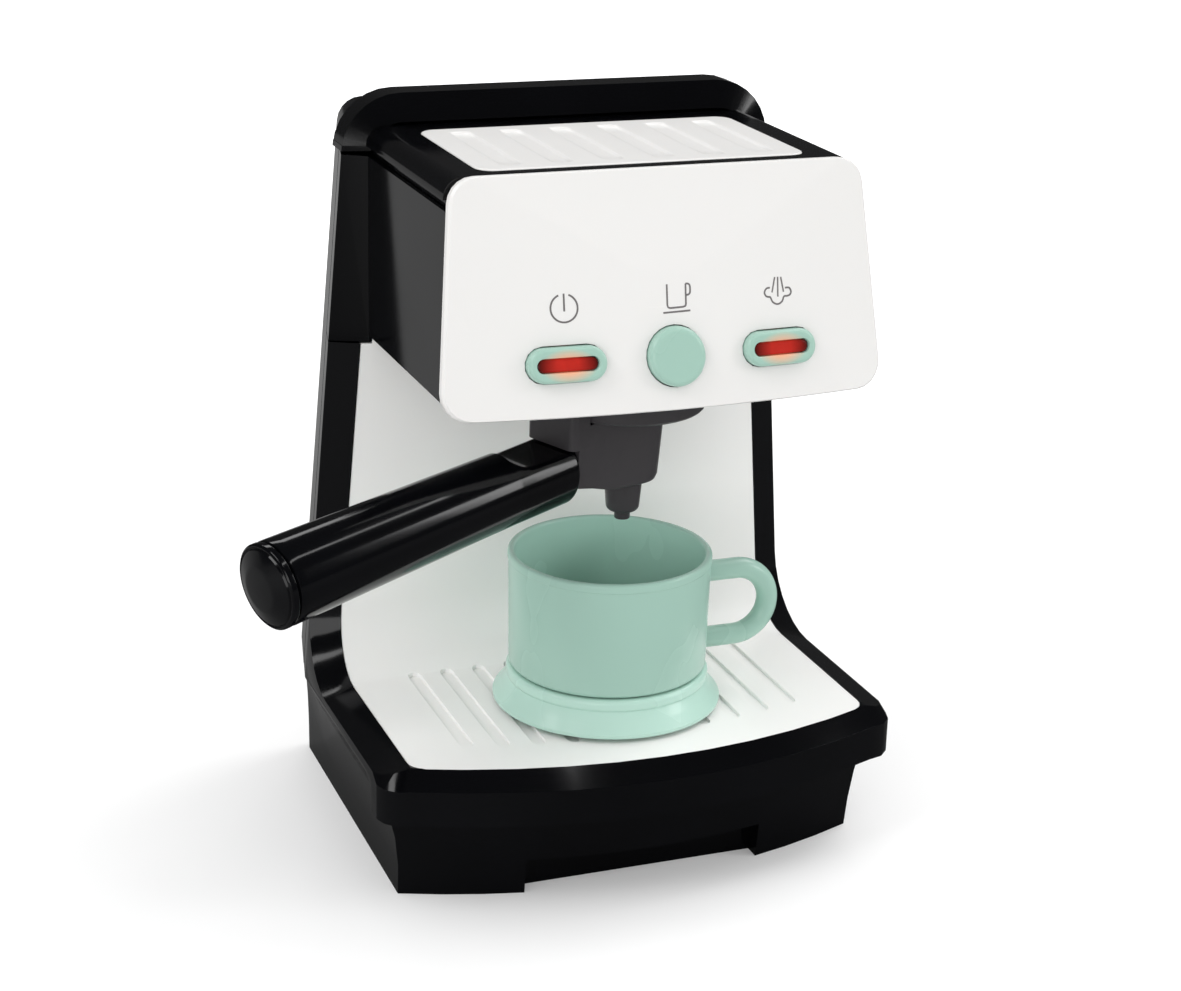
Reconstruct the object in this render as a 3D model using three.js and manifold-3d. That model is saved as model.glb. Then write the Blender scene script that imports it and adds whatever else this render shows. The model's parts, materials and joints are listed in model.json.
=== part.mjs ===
// A toy coffee maker: a black case with a white tray and back panel, a head with a white
// fascia and three buttons, a turning filter holder, and a cup on a saucer.
// Millimetres. +X is to the viewer's right, the front faces -Y, +Z is up, and the origin is
// the middle of the underside.

import * as THREE from "three";
import { mergeVertices } from "three/addons/utils/BufferGeometryUtils.js";
import Module from "manifold-3d";

const wasm = await Module();
wasm.setup();

// Clearances and walls that many pieces share
const gap = 0.3; // between pieces that rest on each other
const overrun = 6; // how far a cutter runs past the face that it opens
const wall = 2.4; // the black and white mouldings

// The case: a base with a bowed front, and a column behind the tray
const base = {
  bottomHalfFront: 85.3,
  bottomHalfRear: 84,
  rimHalfFront: 95,
  rimHalfRear: 85.5,
  sideCurveShare: 2.5, // power of the rise that blends the skirt's side into the rim
  skirtFrontDepth: 72.6, // from the origin forward to the skirt, in the middle
  rearDepth: 72, // from the origin back to the rear wall
  frontLean: 4.5, // how much further forward the skirt is at its top
  bow: 17.6, // how far the front swells between its corners
  skirtHeight: 34,
  lipHeight: 12.6,
  lipOverhang: 12.9, // from the skirt's top forward to the lip
  bevelRise: 6.1, // from the lip's top edge up to the tray
  bevelDepth: 5.9,
  rimDrop: 3.7, // how much lower the rim's outer edge is than the tray
  railWidth: 10.3,
  flareFrom: 45, // depth forward of the origin where the lip comes out of the side wall
  flareRun: 12, // over which it does
  rearCornerRadius: 5,
  recessHalf: 43.6, // the recess low in the skirt's front
  recessHeight: 13.4,
  recessDepth: 10.6,
};
const column = {
  frontDepth: 25, // from the origin back to the rail's inner edge
  railStep: 5, // how much further back the rail's outer edge is
  seatDepth: 43, // from the origin back to the rear casing's joint
  filletRadius: 22.5, // where the back panel bends into the tray
  rise: 120.5, // from the tray up to the seam under the head
  topHalf: 78.3, // half the width at the top of the arch
};
const head = {
  seamGap: 0.5,
  floorStep: 2.3, // the floor's height above the seam in the rails
  floorThickness: 1.8,
  cheekInset: 6.5, // how much narrower than the arch the cheeks are, on each side
  cheekHeight: 63.3, // from the floor up to the groove under the top cover
  grooveHeight: 3.1,
  coverHeight: 6.8, // from the groove up to the flat top
  shoulderRadius: 6.7,
  lipDepth: 1.6, // how far the cover's inner lip stands in from its side
  frontGap: 2.2, // between the fascia's top and the cover's front edge
};
const arch = { rise: 10.6, width: 9.6, depth: 11.4, cornerRadius: 21, faceStep: 3.4 };
const panel = { thickness: 2.2, recess: 0.2, ledge: 1.8, lap: 9, cornerRadius: 7, windowMargin: 9 };
// Where the case's side views are taken: across the rim from its outer edge, and from there on
const rimShares = [-0.3, 0.005, 0.134, 0.5, 1];
const middleShares = [0.8, 0.6, 0.4, 0.2];
const groove = { count: 11, pitch: 12.1, width: 4.6, depth: 1, frontMargin: 19, rearInset: 17 };

// The underside, the battery box and what it holds
const cover = { thickness: 3 };
const post = { radius: 3.6, frontX: 77, frontInset: 26.6, middleY: 3, rearX: 58 };
const screw = { headRadius: 2.9, headHeight: 1.4, topShare: 0.7, shankRadius: 1.4,
  length: 11, shortLength: 8.8, sides: 10 };
const battery = { radius: 7.1, length: 49, nubRadius: 2.7, nubLength: 1.4, pitch: 15 };
const box = { halfLength: 34, halfWidth: 18, height: 17, wall: 1.6, centreY: 30, lip: 2.4 };
const door = { thickness: 3, screwShare: 0.818 };
const contact = { thickness: 0.6, width: 26, height: 11 };

// The rear casing
const casing = {
  topDrop: 7.8, // of its top below the arch's
  topCornerRadius: 9,
  leastRadius: 2,
  rearRadius: 4,
  rearSteps: 4,
  wellRadius: 4.6,
  wellFloor: 3,
  screwHeightShares: [0.2, 0.84],
  screwInset: 13,
  slotCount: 5,
  slotPitch: 6,
  slotWidth: 2.4,
  slotLength: 30,
};
const speaker = { radius: 18, rimHeight: 2.4, coneHeight: 2.4, magnetRadius: 10, height: 9,
  topDrop: 46 }; // of its middle below the casing's top

// The fascia, in its own leaning frame: across, up its face, and inward from its back
const fascia = {
  bottomDepth: 76.2, // from the origin forward to its bottom edge
  tiltDegrees: 9.8,
  height: 76.7,
  topInset: 1, // how much narrower than the cheeks it is at its top, on each side
  bottomOverhang: 5.6, // and how much wider at its bottom
  thickness: 3.2,
  topBulge: 1.4,
  bottomBulge: 8.4,
  bottomDrop: 1.2, // of its bottom corners below the head's floor
  bottomSag: 0.8, // of the middle of its bottom edge below the corners
  cornerRadius: 9,
  ringShares: [0.85, 0.65, 0.4, 0.15],
  pocketShare: 0.88, // of its outline, the hollow behind its upper part
  pocketBottom: 32,
};
const grille = { sideInset: 14.5, rearDepth: 16, length: 67.5, thickness: 2, rise: 0.3, lap: 2.6,
  cornerRadius: 6, padCount: 6, padPitch: 17.7, padWidth: 8.4, padDepth: 0.7, padMargin: 6 };
const button = {
  height: 16.6, // of the middle above the fascia's bottom edge
  spacing: 37,
  ovalLength: 25.8,
  ovalWidth: 11.3,
  roundDiameter: 19.4,
  proud: 3.4,
  edge: 1.2,
  edgeShare: 0.3,
  clearance: 0.4,
  flangeLip: 1,
  flangeThickness: 1.6,
  windowLength: 19.6,
  windowWidth: 3.9,
  windowRecess: 1.1,
  stemRadius: 1.6,
  stemLength: 3.2,
};
const board = { sideInset: 17.8, bottom: 8, top: 36, thickness: 1.6, stand: 11 };
const boardPost = { radius: 3, across: 18.5, up: 27 };
const tact = { half: 2.7, height: 3.5, boreRadius: 2.1, boreDepth: 2.8, plungerRadius: 1.7,
  plungerReach: 1 };
const led = { radius: 1.5, length: 7, domeShare: 0.8 };

// The filter holder and the collar that it turns in
const group = {
  frontDepth: 39, // from the origin forward to the turning axis
  restDegrees: 68, // from straight ahead to where the handle points
  collarRadius: 27.1,
  collarHeight: 11.6,
  boreRadius: 22,
  ledgeRadius: 18.2,
  ledgeHeight: 2.4,
  neckRadius: 17.6,
  lugRadius: 21.4,
  lugHeight: 3,
  lugHalfDegrees: 24,
  notchSwing: 20, // degrees from rest back to where the lugs drop out
  notchMargin: 4, // degrees that a notch is wider than its lug on each side
  screwRadiusShare: 0.9,
  edge: 0.9,
};
const holder = {
  topRadius: 13.4,
  bottomRadius: 11.6,
  floorRadius: 9.2,
  height: 26.2, // from the collar's underside down to its flat bottom
  bottomRise: 2.5,
  bottomEdge: 0.7,
  armHalf: 11.9,
  armReach: 34.7,
  armCornerRadius: 2.5,
  waist: 22, // from the axis to where the bowl's drawn out side ends in the arm
  waistShare: 0.65, // of the bowl's radius, half its width there
  flankDegrees: 10, // from straight aside to where the round part ends
  armRoot: 14, // from the axis to the arm's inner end, inside the bowl's side
  armRootHalf: 8.2,
  armTaper: 2.2, // how much narrower the arm is along its underside, on each side
  armRootRise: 0.1, // of its underside above the bowl's, at the bowl
  armRise: 5.1, // and at its end
  neckReach: 31.2, // from the axis to where the handle's neck meets the arm
  neckTop: 7.6, // from the collar's underside down to the part that stands over the neck
  lugInner: 27.8,
  lugRise: 6.5,
  bowlRadius: 9.6,
  bowlFloor: 6.2, // height of the bowl's floor above the bottom
};
const spout = { topRadius: 6.6, bottomRadius: 5.5, height: 11.4, round: 2, tipRadius: 2.75,
  tipLength: 3, boreRadius: 1.2, boreDepth: 5 };
const grip = {
  axisDrop: 12.5, // from the collar's underside down to the handle's line at the axis
  tiltDegrees: 6.6,
  length: 147.6, // from the turning axis to the handle's end
  neckEnd: 54.4,
  neckRadius: 12.4,
  neckFlat: 4.2,
  startRadius: 12.2,
  endRadius: 14,
  sides: 24,
};
const gripCap = { rim: 2.4, groove: 0.9, dome: 3.6, insetShare: 0.84, domeShare: 0.5,
  domeRiseShare: 0.85 };
const gripScrew = { length: 28 };

// The cup and saucer
const cup = { frontDepth: 31, across: -0.8, rimRadius: 35.8, bottomRadius: 34.9, height: 42.2,
  wall: 2.4, lipHeight: 3.2, lipStep: 0.3, rimEdge: 1.2, edge: 2.2, innerEdge: 4.6, edgeShare: 0.3,
  footRadius: 27, footDepth: 1.4 };
const loop = { centreShare: 0.398, radius: 12.7, thickness: 3.8, reach: 48.7, steps: 12, sides: 12 };
const saucer = { radius: 40.3, rimThickness: 1.3, rimLift: 1.3, skirtInset: 1.4, footInset: 3.7,
  footWidth: 1.8, seatRadius: 31, seatDrop: 0.9, beadRadius: 35.8, beadEdge: 1.4, beadHeight: 4,
  creaseDepth: 0.6, height: 13.4, wall: 1.9, sag: 1 };
const lead = { radius: 1.1, sides: 8, steps: 22 };

// Heights and places that follow from the sizes above
const lipTop = base.skirtHeight + base.lipHeight;
const trayHeight = lipTop + base.bevelRise;
const seamHeight = trayHeight + column.rise;
const railBottom = seamHeight + head.seamGap;
const floorHeight = railBottom + head.floorStep;
const cheekTop = floorHeight + head.cheekHeight;
const coverBottom = cheekTop + head.grooveHeight;
const headTop = coverBottom + head.coverHeight;
const archTop = headTop + arch.rise;
const casingTop = archTop - casing.topDrop;
const speakerHeight = casingTop - speaker.topDrop;
const cheekHalf = column.topHalf - head.cheekInset;
const fasciaTopHalf = cheekHalf - fascia.topInset;
const fasciaBottomHalf = cheekHalf + fascia.bottomOverhang;
const panelFloor = trayHeight - panel.recess;
const faceInset = panel.recess + panel.thickness + gap + panel.ledge;
const lipFront = -(base.skirtFrontDepth + base.frontLean + base.lipOverhang);
const railBack = column.frontDepth + column.railStep;
const filletCentre = {
  y: column.frontDepth - column.filletRadius,
  z: trayHeight + column.filletRadius,
};
const tilt = THREE.MathUtils.degToRad(fascia.tiltDegrees);
const fasciaBottom = floorHeight - fascia.bottomDrop;

const finishes = {
  black: { color: 0x0c0c0e, roughness: 0.16, metalness: 0 },
  white: { color: 0xf3f1ee, roughness: 0.3, metalness: 0 },
  mint: { color: 0xa4c7bb, roughness: 0.28, metalness: 0 },
  grey: { color: 0x464446, roughness: 0.38, metalness: 0 },
  red: { color: 0xbe2823, roughness: 0.15, metalness: 0 },
  clear: { color: 0xd8dcdc, roughness: 0.1, metalness: 0 },
  green: { color: 0x2f6b3f, roughness: 0.5, metalness: 0 },
  steel: { color: 0xb8bcc0, roughness: 0.35, metalness: 1 },
  cell: { color: 0x3c5a78, roughness: 0.4, metalness: 0.4 },
  dark: { color: 0x232325, roughness: 0.6, metalness: 0 },
};

// Turns in degrees of what is drawn pointing up
const turnForward = [90, 0, 0];
const turnBack = [-90, 0, 0];
const upsideDown = [180, 0, 0];

const model = new THREE.Group();

// A solid for cutting and joining, from any closed geometry
function solid(geometry) {
  const bare = geometry.clone();
  bare.deleteAttribute("normal");
  bare.deleteAttribute("uv");
  const merged = mergeVertices(bare);
  const positions = merged.getAttribute("position");
  const faces = [];
  let volume = 0;
  const corners = [new THREE.Vector3(), new THREE.Vector3(), new THREE.Vector3()];
  for (let i = 0; i < merged.index.count; i += corners.length) {
    const face = corners.map((corner, k) => merged.index.getX(i + k));
    if (new Set(face).size < corners.length) continue;
    corners.forEach((corner, k) => corner.fromBufferAttribute(positions, face[k]));
    volume += corners[0].dot(corners[1].clone().cross(corners[2]));
    faces.push(face);
  }
  const turned = volume < 0 ? faces.map((face) => face.toReversed()) : faces;
  return new wasm.Manifold(new wasm.Mesh({
    numProp: 3,
    vertProperties: new Float32Array(positions.array),
    triVerts: new Uint32Array(turned.flat()),
  }));
}

// The plane's two coordinates of a point, for a prism along each axis
const placeInPlane = {
  x: (a, b, along) => [along, a, b],
  y: (a, b, along) => [a, along, b],
  z: (a, b, along) => [a, b, along],
};

// A prism along an axis through an outline, which may differ at its two ends
function prism(axis, outline, from, to, endOutline = outline) {
  const ring = (points, along) => points.map(([a, b]) => {
    return new THREE.Vector3(...placeInPlane[axis](a, b, along));
  });
  return loft([ring(outline, from), ring(endOutline, to)]);
}

// A closed solid through rings of points, each with as many points as the first
function loft(rings) {
  const count = rings[0].length;
  const positions = rings.flat().flatMap((point) => [point.x, point.y, point.z]);
  const index = [];
  for (let i = 0; i + 1 < rings.length; i += 1) {
    for (let j = 0; j < count; j += 1) {
      const a = i * count + j;
      const b = i * count + ((j + 1) % count);
      index.push(a, b, b + count, a, b + count, a + count);
    }
  }
  const last = (rings.length - 1) * count;
  ringFaces(rings[0]).forEach((face) => index.push(...face.toReversed()));
  ringFaces(rings.at(-1)).forEach((face) => index.push(...face.map((corner) => corner + last)));
  const geometry = new THREE.BufferGeometry();
  geometry.setAttribute("position", new THREE.Float32BufferAttribute(positions, 3));
  geometry.setIndex(index);
  return solid(geometry);
}

// The triangles that close a ring, turned the way that its points run
function ringFaces(ring) {
  const normal = new THREE.Vector3();
  ring.forEach((point, i) => normal.add(point.clone().cross(ring[(i + 1) % ring.length])));
  const sizes = normal.toArray().map(Math.abs);
  const dropped = sizes.indexOf(Math.max(...sizes));
  const flat = ring.map((point) => {
    const [a, b] = point.toArray().filter((value, axis) => axis !== dropped);
    return new THREE.Vector2(a, b);
  });
  const found = THREE.ShapeUtils.triangulateShape(flat, []);
  const covered = found.reduce((sum, face) => {
    return sum + THREE.ShapeUtils.area(face.map((corner) => flat[corner]));
  }, 0);
  const same = covered * THREE.ShapeUtils.area(flat) > 0;
  const faces = same ? found : found.map((face) => face.toReversed());
  // A point in line with its neighbours gets no triangle of its own, so one is split at it
  const used = new Set(faces.flat());
  const near = (from, step) => {
    let at = from;
    do at = (at + step + ring.length) % ring.length; while (!used.has(at));
    return at;
  };
  ring.forEach((point, i) => {
    if (used.has(i)) return;
    const before = near(i, -1);
    const after = near(i, 1);
    const place = faces.findIndex((face) => face.includes(before) && face.includes(after));
    const split = faces[place];
    faces.push(split.map((corner) => (corner === before ? i : corner)));
    faces[place] = split.map((corner) => (corner === after ? i : corner));
    used.add(i);
  });
  return faces;
}

// A block from its low corner to its high corner
function block(low, high) {
  const size = high.map((value, axis) => value - low[axis]);
  const middle = high.map((value, axis) => (value + low[axis]) / 2);
  return solid(new THREE.BoxGeometry(...size).translate(...middle));
}

// A turned solid about an axis that points up, through points of radius and height
function turned(profile, sides) {
  const points = profile.map(([radius, height]) => new THREE.Vector2(radius, height));
  return solid(new THREE.LatheGeometry(points, sides).rotateX(Math.PI / 2));
}

function rod(radius, from, to, sides = 14) {
  return turned([[0, from], [radius, from], [radius, to], [0, to]], sides);
}

// Moves a solid by a matrix made of a turn in degrees about each axis, then a shift
function moved(part, shift, degrees = [0, 0, 0]) {
  return part.rotate(degrees).translate(shift);
}

function mirrored(part) {
  return part.mirror([1, 0, 0]);
}

// An outline whose corners, given as across, up and radius, are rounded where the radius isn't 0
function rounded(corners, steps = 4) {
  return corners.flatMap(([a, b, radius], i) => {
    if (!radius) return [[a, b]];
    const at = new THREE.Vector2(a, b);
    const before = new THREE.Vector2(...corners.at(i - 1).slice(0, 2)).sub(at).normalize();
    const after = new THREE.Vector2(...corners[(i + 1) % corners.length].slice(0, 2)).sub(at)
      .normalize();
    const half = Math.acos(THREE.MathUtils.clamp(before.dot(after), -1, 1)) / 2;
    const centre = before.clone().add(after).normalize().multiplyScalar(radius / Math.sin(half))
      .add(at);
    const from = before.multiplyScalar(radius / Math.tan(half)).add(at).sub(centre);
    const to = after.multiplyScalar(radius / Math.tan(half)).add(at).sub(centre);
    const sweep = Math.atan2(from.cross(to), from.dot(to));
    return Array.from({ length: steps + 1 }, (_, k) => {
      const point = from.clone().rotateAround(new THREE.Vector2(), (sweep * k) / steps).add(centre);
      return [point.x, point.y];
    });
  });
}

// A slot with round ends, across and up, about its middle
function slotOutline(length, width, steps = 5) {
  const reach = (length - width) / 2;
  return [1, -1].flatMap((side) => Array.from({ length: steps + 1 }, (_, k) => {
    const angle = Math.PI * (k / steps - 0.5);
    return [side * (reach + (width / 2) * Math.cos(angle)), side * (width / 2) * Math.sin(angle)];
  }));
}

function shifted(outline, across, up) {
  return outline.map(([a, b]) => [a + across, b + up]);
}

// Adds a piece to the model under its name
function addPiece(name, part, finish, parent = model) {
  const { vertProperties, triVerts, numProp } = part.getMesh();
  const geometry = new THREE.BufferGeometry();
  geometry.setAttribute("position", new THREE.Float32BufferAttribute(vertProperties, numProp));
  geometry.setIndex(new THREE.Uint32BufferAttribute(triVerts, 1));
  geometry.computeVertexNormals();
  const material = new THREE.MeshStandardMaterial({ ...finishes[finish], flatShading: true });
  const mesh = new THREE.Mesh(geometry, material);
  mesh.name = name;
  parent.add(mesh);
  return mesh;
}

// Half the width of the case at a depth and a height: the skirt's sides swell into the rim,
// and the column's sides draw in towards the top and the rear
function sideHalf(y, z) {
  const back = THREE.MathUtils.clamp((y - railBack) / (base.rearDepth - railBack), 0, 1);
  const run = THREE.MathUtils.clamp((y + base.skirtFrontDepth)
    / (base.rearDepth + base.skirtFrontDepth), 0, 1);
  const bottom = THREE.MathUtils.lerp(base.bottomHalfFront, base.bottomHalfRear, run);
  const rim = THREE.MathUtils.lerp(base.rimHalfFront, base.rimHalfRear, back);
  if (z < lipTop) {
    const blend = (THREE.MathUtils.clamp(z, 0, lipTop) / lipTop) ** base.sideCurveShare;
    return THREE.MathUtils.lerp(bottom, rim, blend);
  }
  const slope = (base.rimHalfFront - column.topHalf) / (archTop - lipTop);
  return rim - slope * (z - lipTop);
}

// The same at the front, where the lip stands out of the wall all the way down
function lipHalf(y, z) {
  const flare = THREE.MathUtils.smoothstep(-y, base.flareFrom, base.flareFrom + base.flareRun);
  return THREE.MathUtils.lerp(sideHalf(y, z), Math.max(sideHalf(y, lipTop), sideHalf(y, z)),
    z < lipTop ? flare : 0);
}

// The space between the two sides of the case
function betweenSides(inset) {
  const steps = 5;
  const flare = Array.from({ length: steps + 1 }, (_, k) => {
    return -(base.flareFrom + (base.flareRun * (steps - k)) / steps);
  });
  const depths = [lipFront - overrun, ...flare, railBack, column.seatDepth, base.rearDepth,
    base.rearDepth + overrun];
  const blendSteps = 6;
  const levels = Array.from({ length: blendSteps + 1 }, (_, k) => (lipTop * k) / blendSteps);
  const ring = (z, level) => {
    const right = depths.map((y) => new THREE.Vector3(lipHalf(y, level) - inset, y, z));
    const left = depths.toReversed().map((y) => new THREE.Vector3(inset - lipHalf(y, level), y, z));
    return [...right, ...left];
  };
  return loft([ring(-overrun, 0), ...levels.map((z) => ring(z, z)),
    ring(archTop + overrun, archTop + overrun)]);
}

// How far back the bowed front is at a distance from the middle
function frontBow(x) {
  return base.bow * (x / base.bottomHalfFront) ** 2;
}

// The skirt at a height, as an outline seen from above
function skirtOutline(z, inset) {
  const front = -(base.skirtFrontDepth + (base.frontLean * z) / base.skirtHeight) + inset;
  const cornerY = front + frontBow(base.bottomHalfFront);
  const corner = sideHalf(cornerY, z) - inset;
  const steps = 12;
  const arc = Array.from({ length: steps + 1 }, (_, k) => {
    const x = THREE.MathUtils.lerp(corner, -corner, k / steps);
    return [x, front + frontBow(x), 0];
  });
  const rear = base.rearDepth - inset;
  const side = [column.seatDepth, railBack].map((y) => [sideHalf(y, z) - inset, y, 0]);
  const rearCorner = [sideHalf(base.rearDepth, z) - inset, rear, base.rearCornerRadius - inset];
  const left = [...side].reverse().map(([x, y]) => [-x, y, 0]);
  return rounded([rearCorner, ...side, ...arc, ...left, [-rearCorner[0], rear, rearCorner[2]]]);
}

// The skirt as a solid, from one height to another
function skirt(from, to, inset) {
  const steps = 3;
  const rings = Array.from({ length: steps + 1 }, (_, k) => {
    const z = THREE.MathUtils.lerp(from, to, k / steps);
    return skirtOutline(Math.max(z, 0), inset).map(([x, y]) => new THREE.Vector3(x, y, z));
  });
  return loft(rings);
}

// The deck and column as one solid: side views of them at places across the width
function deck({ side, face, floor, rear, top }) {
  const filletSteps = 7;
  const profile = (inward, share, sign) => {
    const blend = Math.min(inward / base.railWidth, 1);
    const half = (y, z) => sign * share * (sideHalf(y, Math.max(z, lipTop)) - side - inward);
    const turn = THREE.MathUtils.clamp(1 - inward / base.railWidth, 0, 1);
    const cornerSet = base.railWidth * (1 - Math.sqrt(1 - turn ** 2));
    const front = lipFront + frontBow(share * (base.rimHalfFront - base.railWidth)) + cornerSet
      + side;
    const upper = trayHeight - base.rimDrop * (1 - blend) - face;
    const back = column.frontDepth + column.railStep * (1 - blend) + face;
    const bottom = base.skirtHeight + floor;
    const at = (y, z) => new THREE.Vector3(half(y, z), y, z);
    const bend = Array.from({ length: filletSteps + 1 }, (_, k) => {
      const angle = ((k / filletSteps) * Math.PI) / 2;
      return at(filletCentre.y + (back - filletCentre.y) * Math.sin(angle),
        filletCentre.z - (filletCentre.z - upper) * Math.cos(angle));
    });
    return [
      at(column.seatDepth + rear, lipTop),
      at(column.seatDepth + rear, bottom),
      at(railBack, bottom),
      at(front, bottom),
      at(front, lipTop - face / 2),
      at(front + base.bevelDepth, upper),
      ...bend,
      at(back, seamHeight + top),
      at(column.seatDepth + rear, seamHeight + top),
    ];
  };
  const left = [
    ...rimShares.map((share) => profile(share * base.railWidth, 1, -1)),
    ...middleShares.map((share) => profile(base.railWidth, share, -1)),
  ];
  const right = [
    ...middleShares.toReversed().map((share) => profile(base.railWidth, share, 1)),
    ...rimShares.toReversed().map((share) => profile(share * base.railWidth, 1, 1)),
  ];
  return loft([...left, profile(base.railWidth, 0, 1), ...right]).intersect(betweenSides(side));
}

// The white panel's space: its side view, cut to its outlines from the front and from above
function panelSpace(grow) {
  const steps = 8;
  const line = (offset) => {
    const radius = column.filletRadius + offset;
    const bend = Array.from({ length: steps + 1 }, (_, k) => {
      const angle = ((k / steps) * Math.PI) / 2;
      return [filletCentre.y + radius * Math.sin(angle), filletCentre.z - radius * Math.cos(angle)];
    });
    return [[lipFront, trayHeight - offset], ...bend,
      [column.frontDepth + offset, floorHeight - gap + grow]];
  };
  const face = panel.recess - (grow ? wall : 0);
  const side = [...line(face), ...line(panel.recess + panel.thickness + grow).reverse()];
  const half = (z) => sideHalf(column.frontDepth, z) - base.railWidth - gap + grow;
  const tall = floorHeight + overrun;
  const low = trayHeight - overrun;
  const neck = cheekHalf - wall / 2 - gap + grow;
  const shoulder = seamHeight - gap + grow;
  const front = [[-half(low), low], [half(low), low], [half(shoulder), shoulder],
    [neck, shoulder], [neck, tall], [-neck, tall], [-neck, shoulder], [-half(shoulder), shoulder]];
  const edge = lipFront + base.bevelDepth + gap - grow;
  const wide = half(trayHeight);
  const arcSteps = 10;
  const arc = Array.from({ length: arcSteps + 1 }, (_, k) => {
    const x = THREE.MathUtils.lerp(wide, -wide, k / arcSteps);
    const corner = k === 0 || k === arcSteps;
    return [x, edge + frontBow(x), corner ? panel.cornerRadius : 0];
  });
  const plan = rounded([[wide, railBack, 0], ...arc, [-wide, railBack, 0]]);
  return prism("x", side, -base.rimHalfFront, base.rimHalfFront)
    .intersect(prism("y", front, lipFront, base.rearDepth))
    .intersect(prism("z", plan, 0, tall));
}

// A screw that points down from its head's underside at a height of 0
function makeScrew(length = screw.length) {
  return turned([
    [0, -length],
    [screw.shankRadius, -(length - screw.shankRadius)],
    [screw.shankRadius, 0],
    [screw.headRadius, 0],
    [screw.headRadius, screw.headHeight / 2],
    [screw.headRadius * screw.topShare, screw.headHeight],
    [0, screw.headHeight],
  ], screw.sides);
}

const pilot = screw.shankRadius + gap;
const screwSeat = screw.headHeight + gap; // of the sunk screws in the underside
const postFrontY = post.frontInset - base.skirtFrontDepth;
const bottomScrewPlaces = [
  [-post.frontX, postFrontY],
  [post.frontX, postFrontY],
  [-post.frontX, -post.middleY],
  [post.frontX, -post.middleY],
  [-post.rearX, base.rearDepth - wall - post.radius + gap],
  [post.rearX, base.rearDepth - wall - post.radius + gap],
];
const rearScrewHeights = casing.screwHeightShares.map((share) => {
  return THREE.MathUtils.lerp(trayHeight, casingTop, share);
});
const rearScrewPlaces = rearScrewHeights.flatMap((z) => [-1, 1].map((side) => {
  return [side * (sideHalf(base.rearDepth, z) - casing.screwInset), z];
}));

// The black frame: skirt, lip, rim and rails in one moulding, hollow from below and behind
function makeLowerFrame() {
  const outer = skirt(0, base.skirtHeight, 0)
    .add(deck({ side: 0, face: 0, floor: 0, rear: 0, top: 0 }));
  const inner = skirt(-overrun, base.skirtHeight + wall, wall).add(deck({
    side: wall,
    face: faceInset,
    floor: wall,
    rear: overrun,
    top: overrun,
  }));
  let frame = outer.subtract(inner).subtract(panelSpace(gap));
  const trayHalf = sideHalf(0, trayHeight) - base.railWidth - panel.lap;
  const trayWindow = block(
    [-trayHalf, lipFront + frontBow(trayHalf) + base.bevelDepth + panel.windowMargin,
      lipTop - overrun],
    [trayHalf, filletCentre.y - panel.windowMargin, trayHeight + overrun],
  );
  const backHalf = sideHalf(column.frontDepth, seamHeight) - base.railWidth - panel.lap;
  const backWindow = block(
    [-backHalf, column.frontDepth - overrun, filletCentre.z + panel.windowMargin],
    [backHalf, column.seatDepth - overrun, seamHeight - panel.windowMargin],
  );
  frame = frame.subtract(trayWindow).subtract(backWindow);
  const recessFront = -(base.skirtFrontDepth + base.frontLean + overrun);
  const recess = block(
    [-base.recessHalf, recessFront, -overrun],
    [base.recessHalf, -(base.skirtFrontDepth - base.recessDepth), base.recessHeight],
  );
  const recessBack = block(
    [-base.recessHalf - wall, -(base.skirtFrontDepth - base.recessDepth), 0],
    [base.recessHalf + wall, -(base.skirtFrontDepth - base.recessDepth - wall),
      base.recessHeight + wall],
  );
  const recessRoof = block(
    [-base.recessHalf - wall, -(base.skirtFrontDepth + base.frontLean), 0],
    [base.recessHalf + wall, -(base.skirtFrontDepth - base.recessDepth - wall),
      base.recessHeight + wall],
  ).intersect(skirt(0, base.skirtHeight, 0));
  frame = frame.add(recessBack).add(recessRoof).subtract(recess);
  bottomScrewPlaces.forEach(([x, y], i) => {
    const rear = y > 0;
    const top = rear ? base.skirtHeight - wall : trayHeight - faceInset + panel.ledge / 2;
    const boss = moved(rod(post.radius, cover.thickness + gap, top), [x, y, 0]);
    const bore = moved(rod(pilot, 0, cover.thickness + screw.length + gap), [x, y, 0]);
    frame = frame.add(boss).subtract(bore);
  });
  rearScrewPlaces.filter(([, z]) => z < seamHeight).forEach(([x, z]) => {
    frame = frame.add(rearPost(x, z, column.frontDepth + faceInset - panel.ledge / 2))
      .subtract(rearBore(x, z));
  });
  return frame;
}

// A post that a rear screw bites into, from the case's front wall back to the casing
function rearPost(x, z, from) {
  return moved(rod(post.radius, -(column.seatDepth - gap), -from), [x, 0, z], turnForward);
}

function rearBore(x, z) {
  const from = -(column.seatDepth + overrun);
  const to = -(column.seatDepth + casing.wellFloor - screw.length - gap);
  return moved(rod(pilot, from, to), [x, 0, z], turnForward);
}

// The white back panel and tray in one sheet, with channels that run front to back
function makeTrayPanel() {
  let part = panelSpace(0);
  for (let i = 0; i < groove.count; i += 1) {
    const x = (i - (groove.count - 1) / 2) * groove.pitch;
    const front = lipFront + base.bevelDepth + frontBow(x) + groove.frontMargin;
    const back = column.frontDepth - groove.rearInset;
    const outline = slotOutline(back - front, groove.width, 4).map(([a, b]) => {
      return [x + b, (front + back) / 2 + a];
    });
    part = part.subtract(prism("z", outline, panelFloor - groove.depth, trayHeight + overrun));
  }
  return part;
}

function screwClearance(x, y, from, to, head) {
  const shank = rod(pilot, from, to);
  const sunk = rod(screw.headRadius + gap, head - overrun, head);
  return moved(shank.add(sunk), [x, y, 0]);
}

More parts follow.
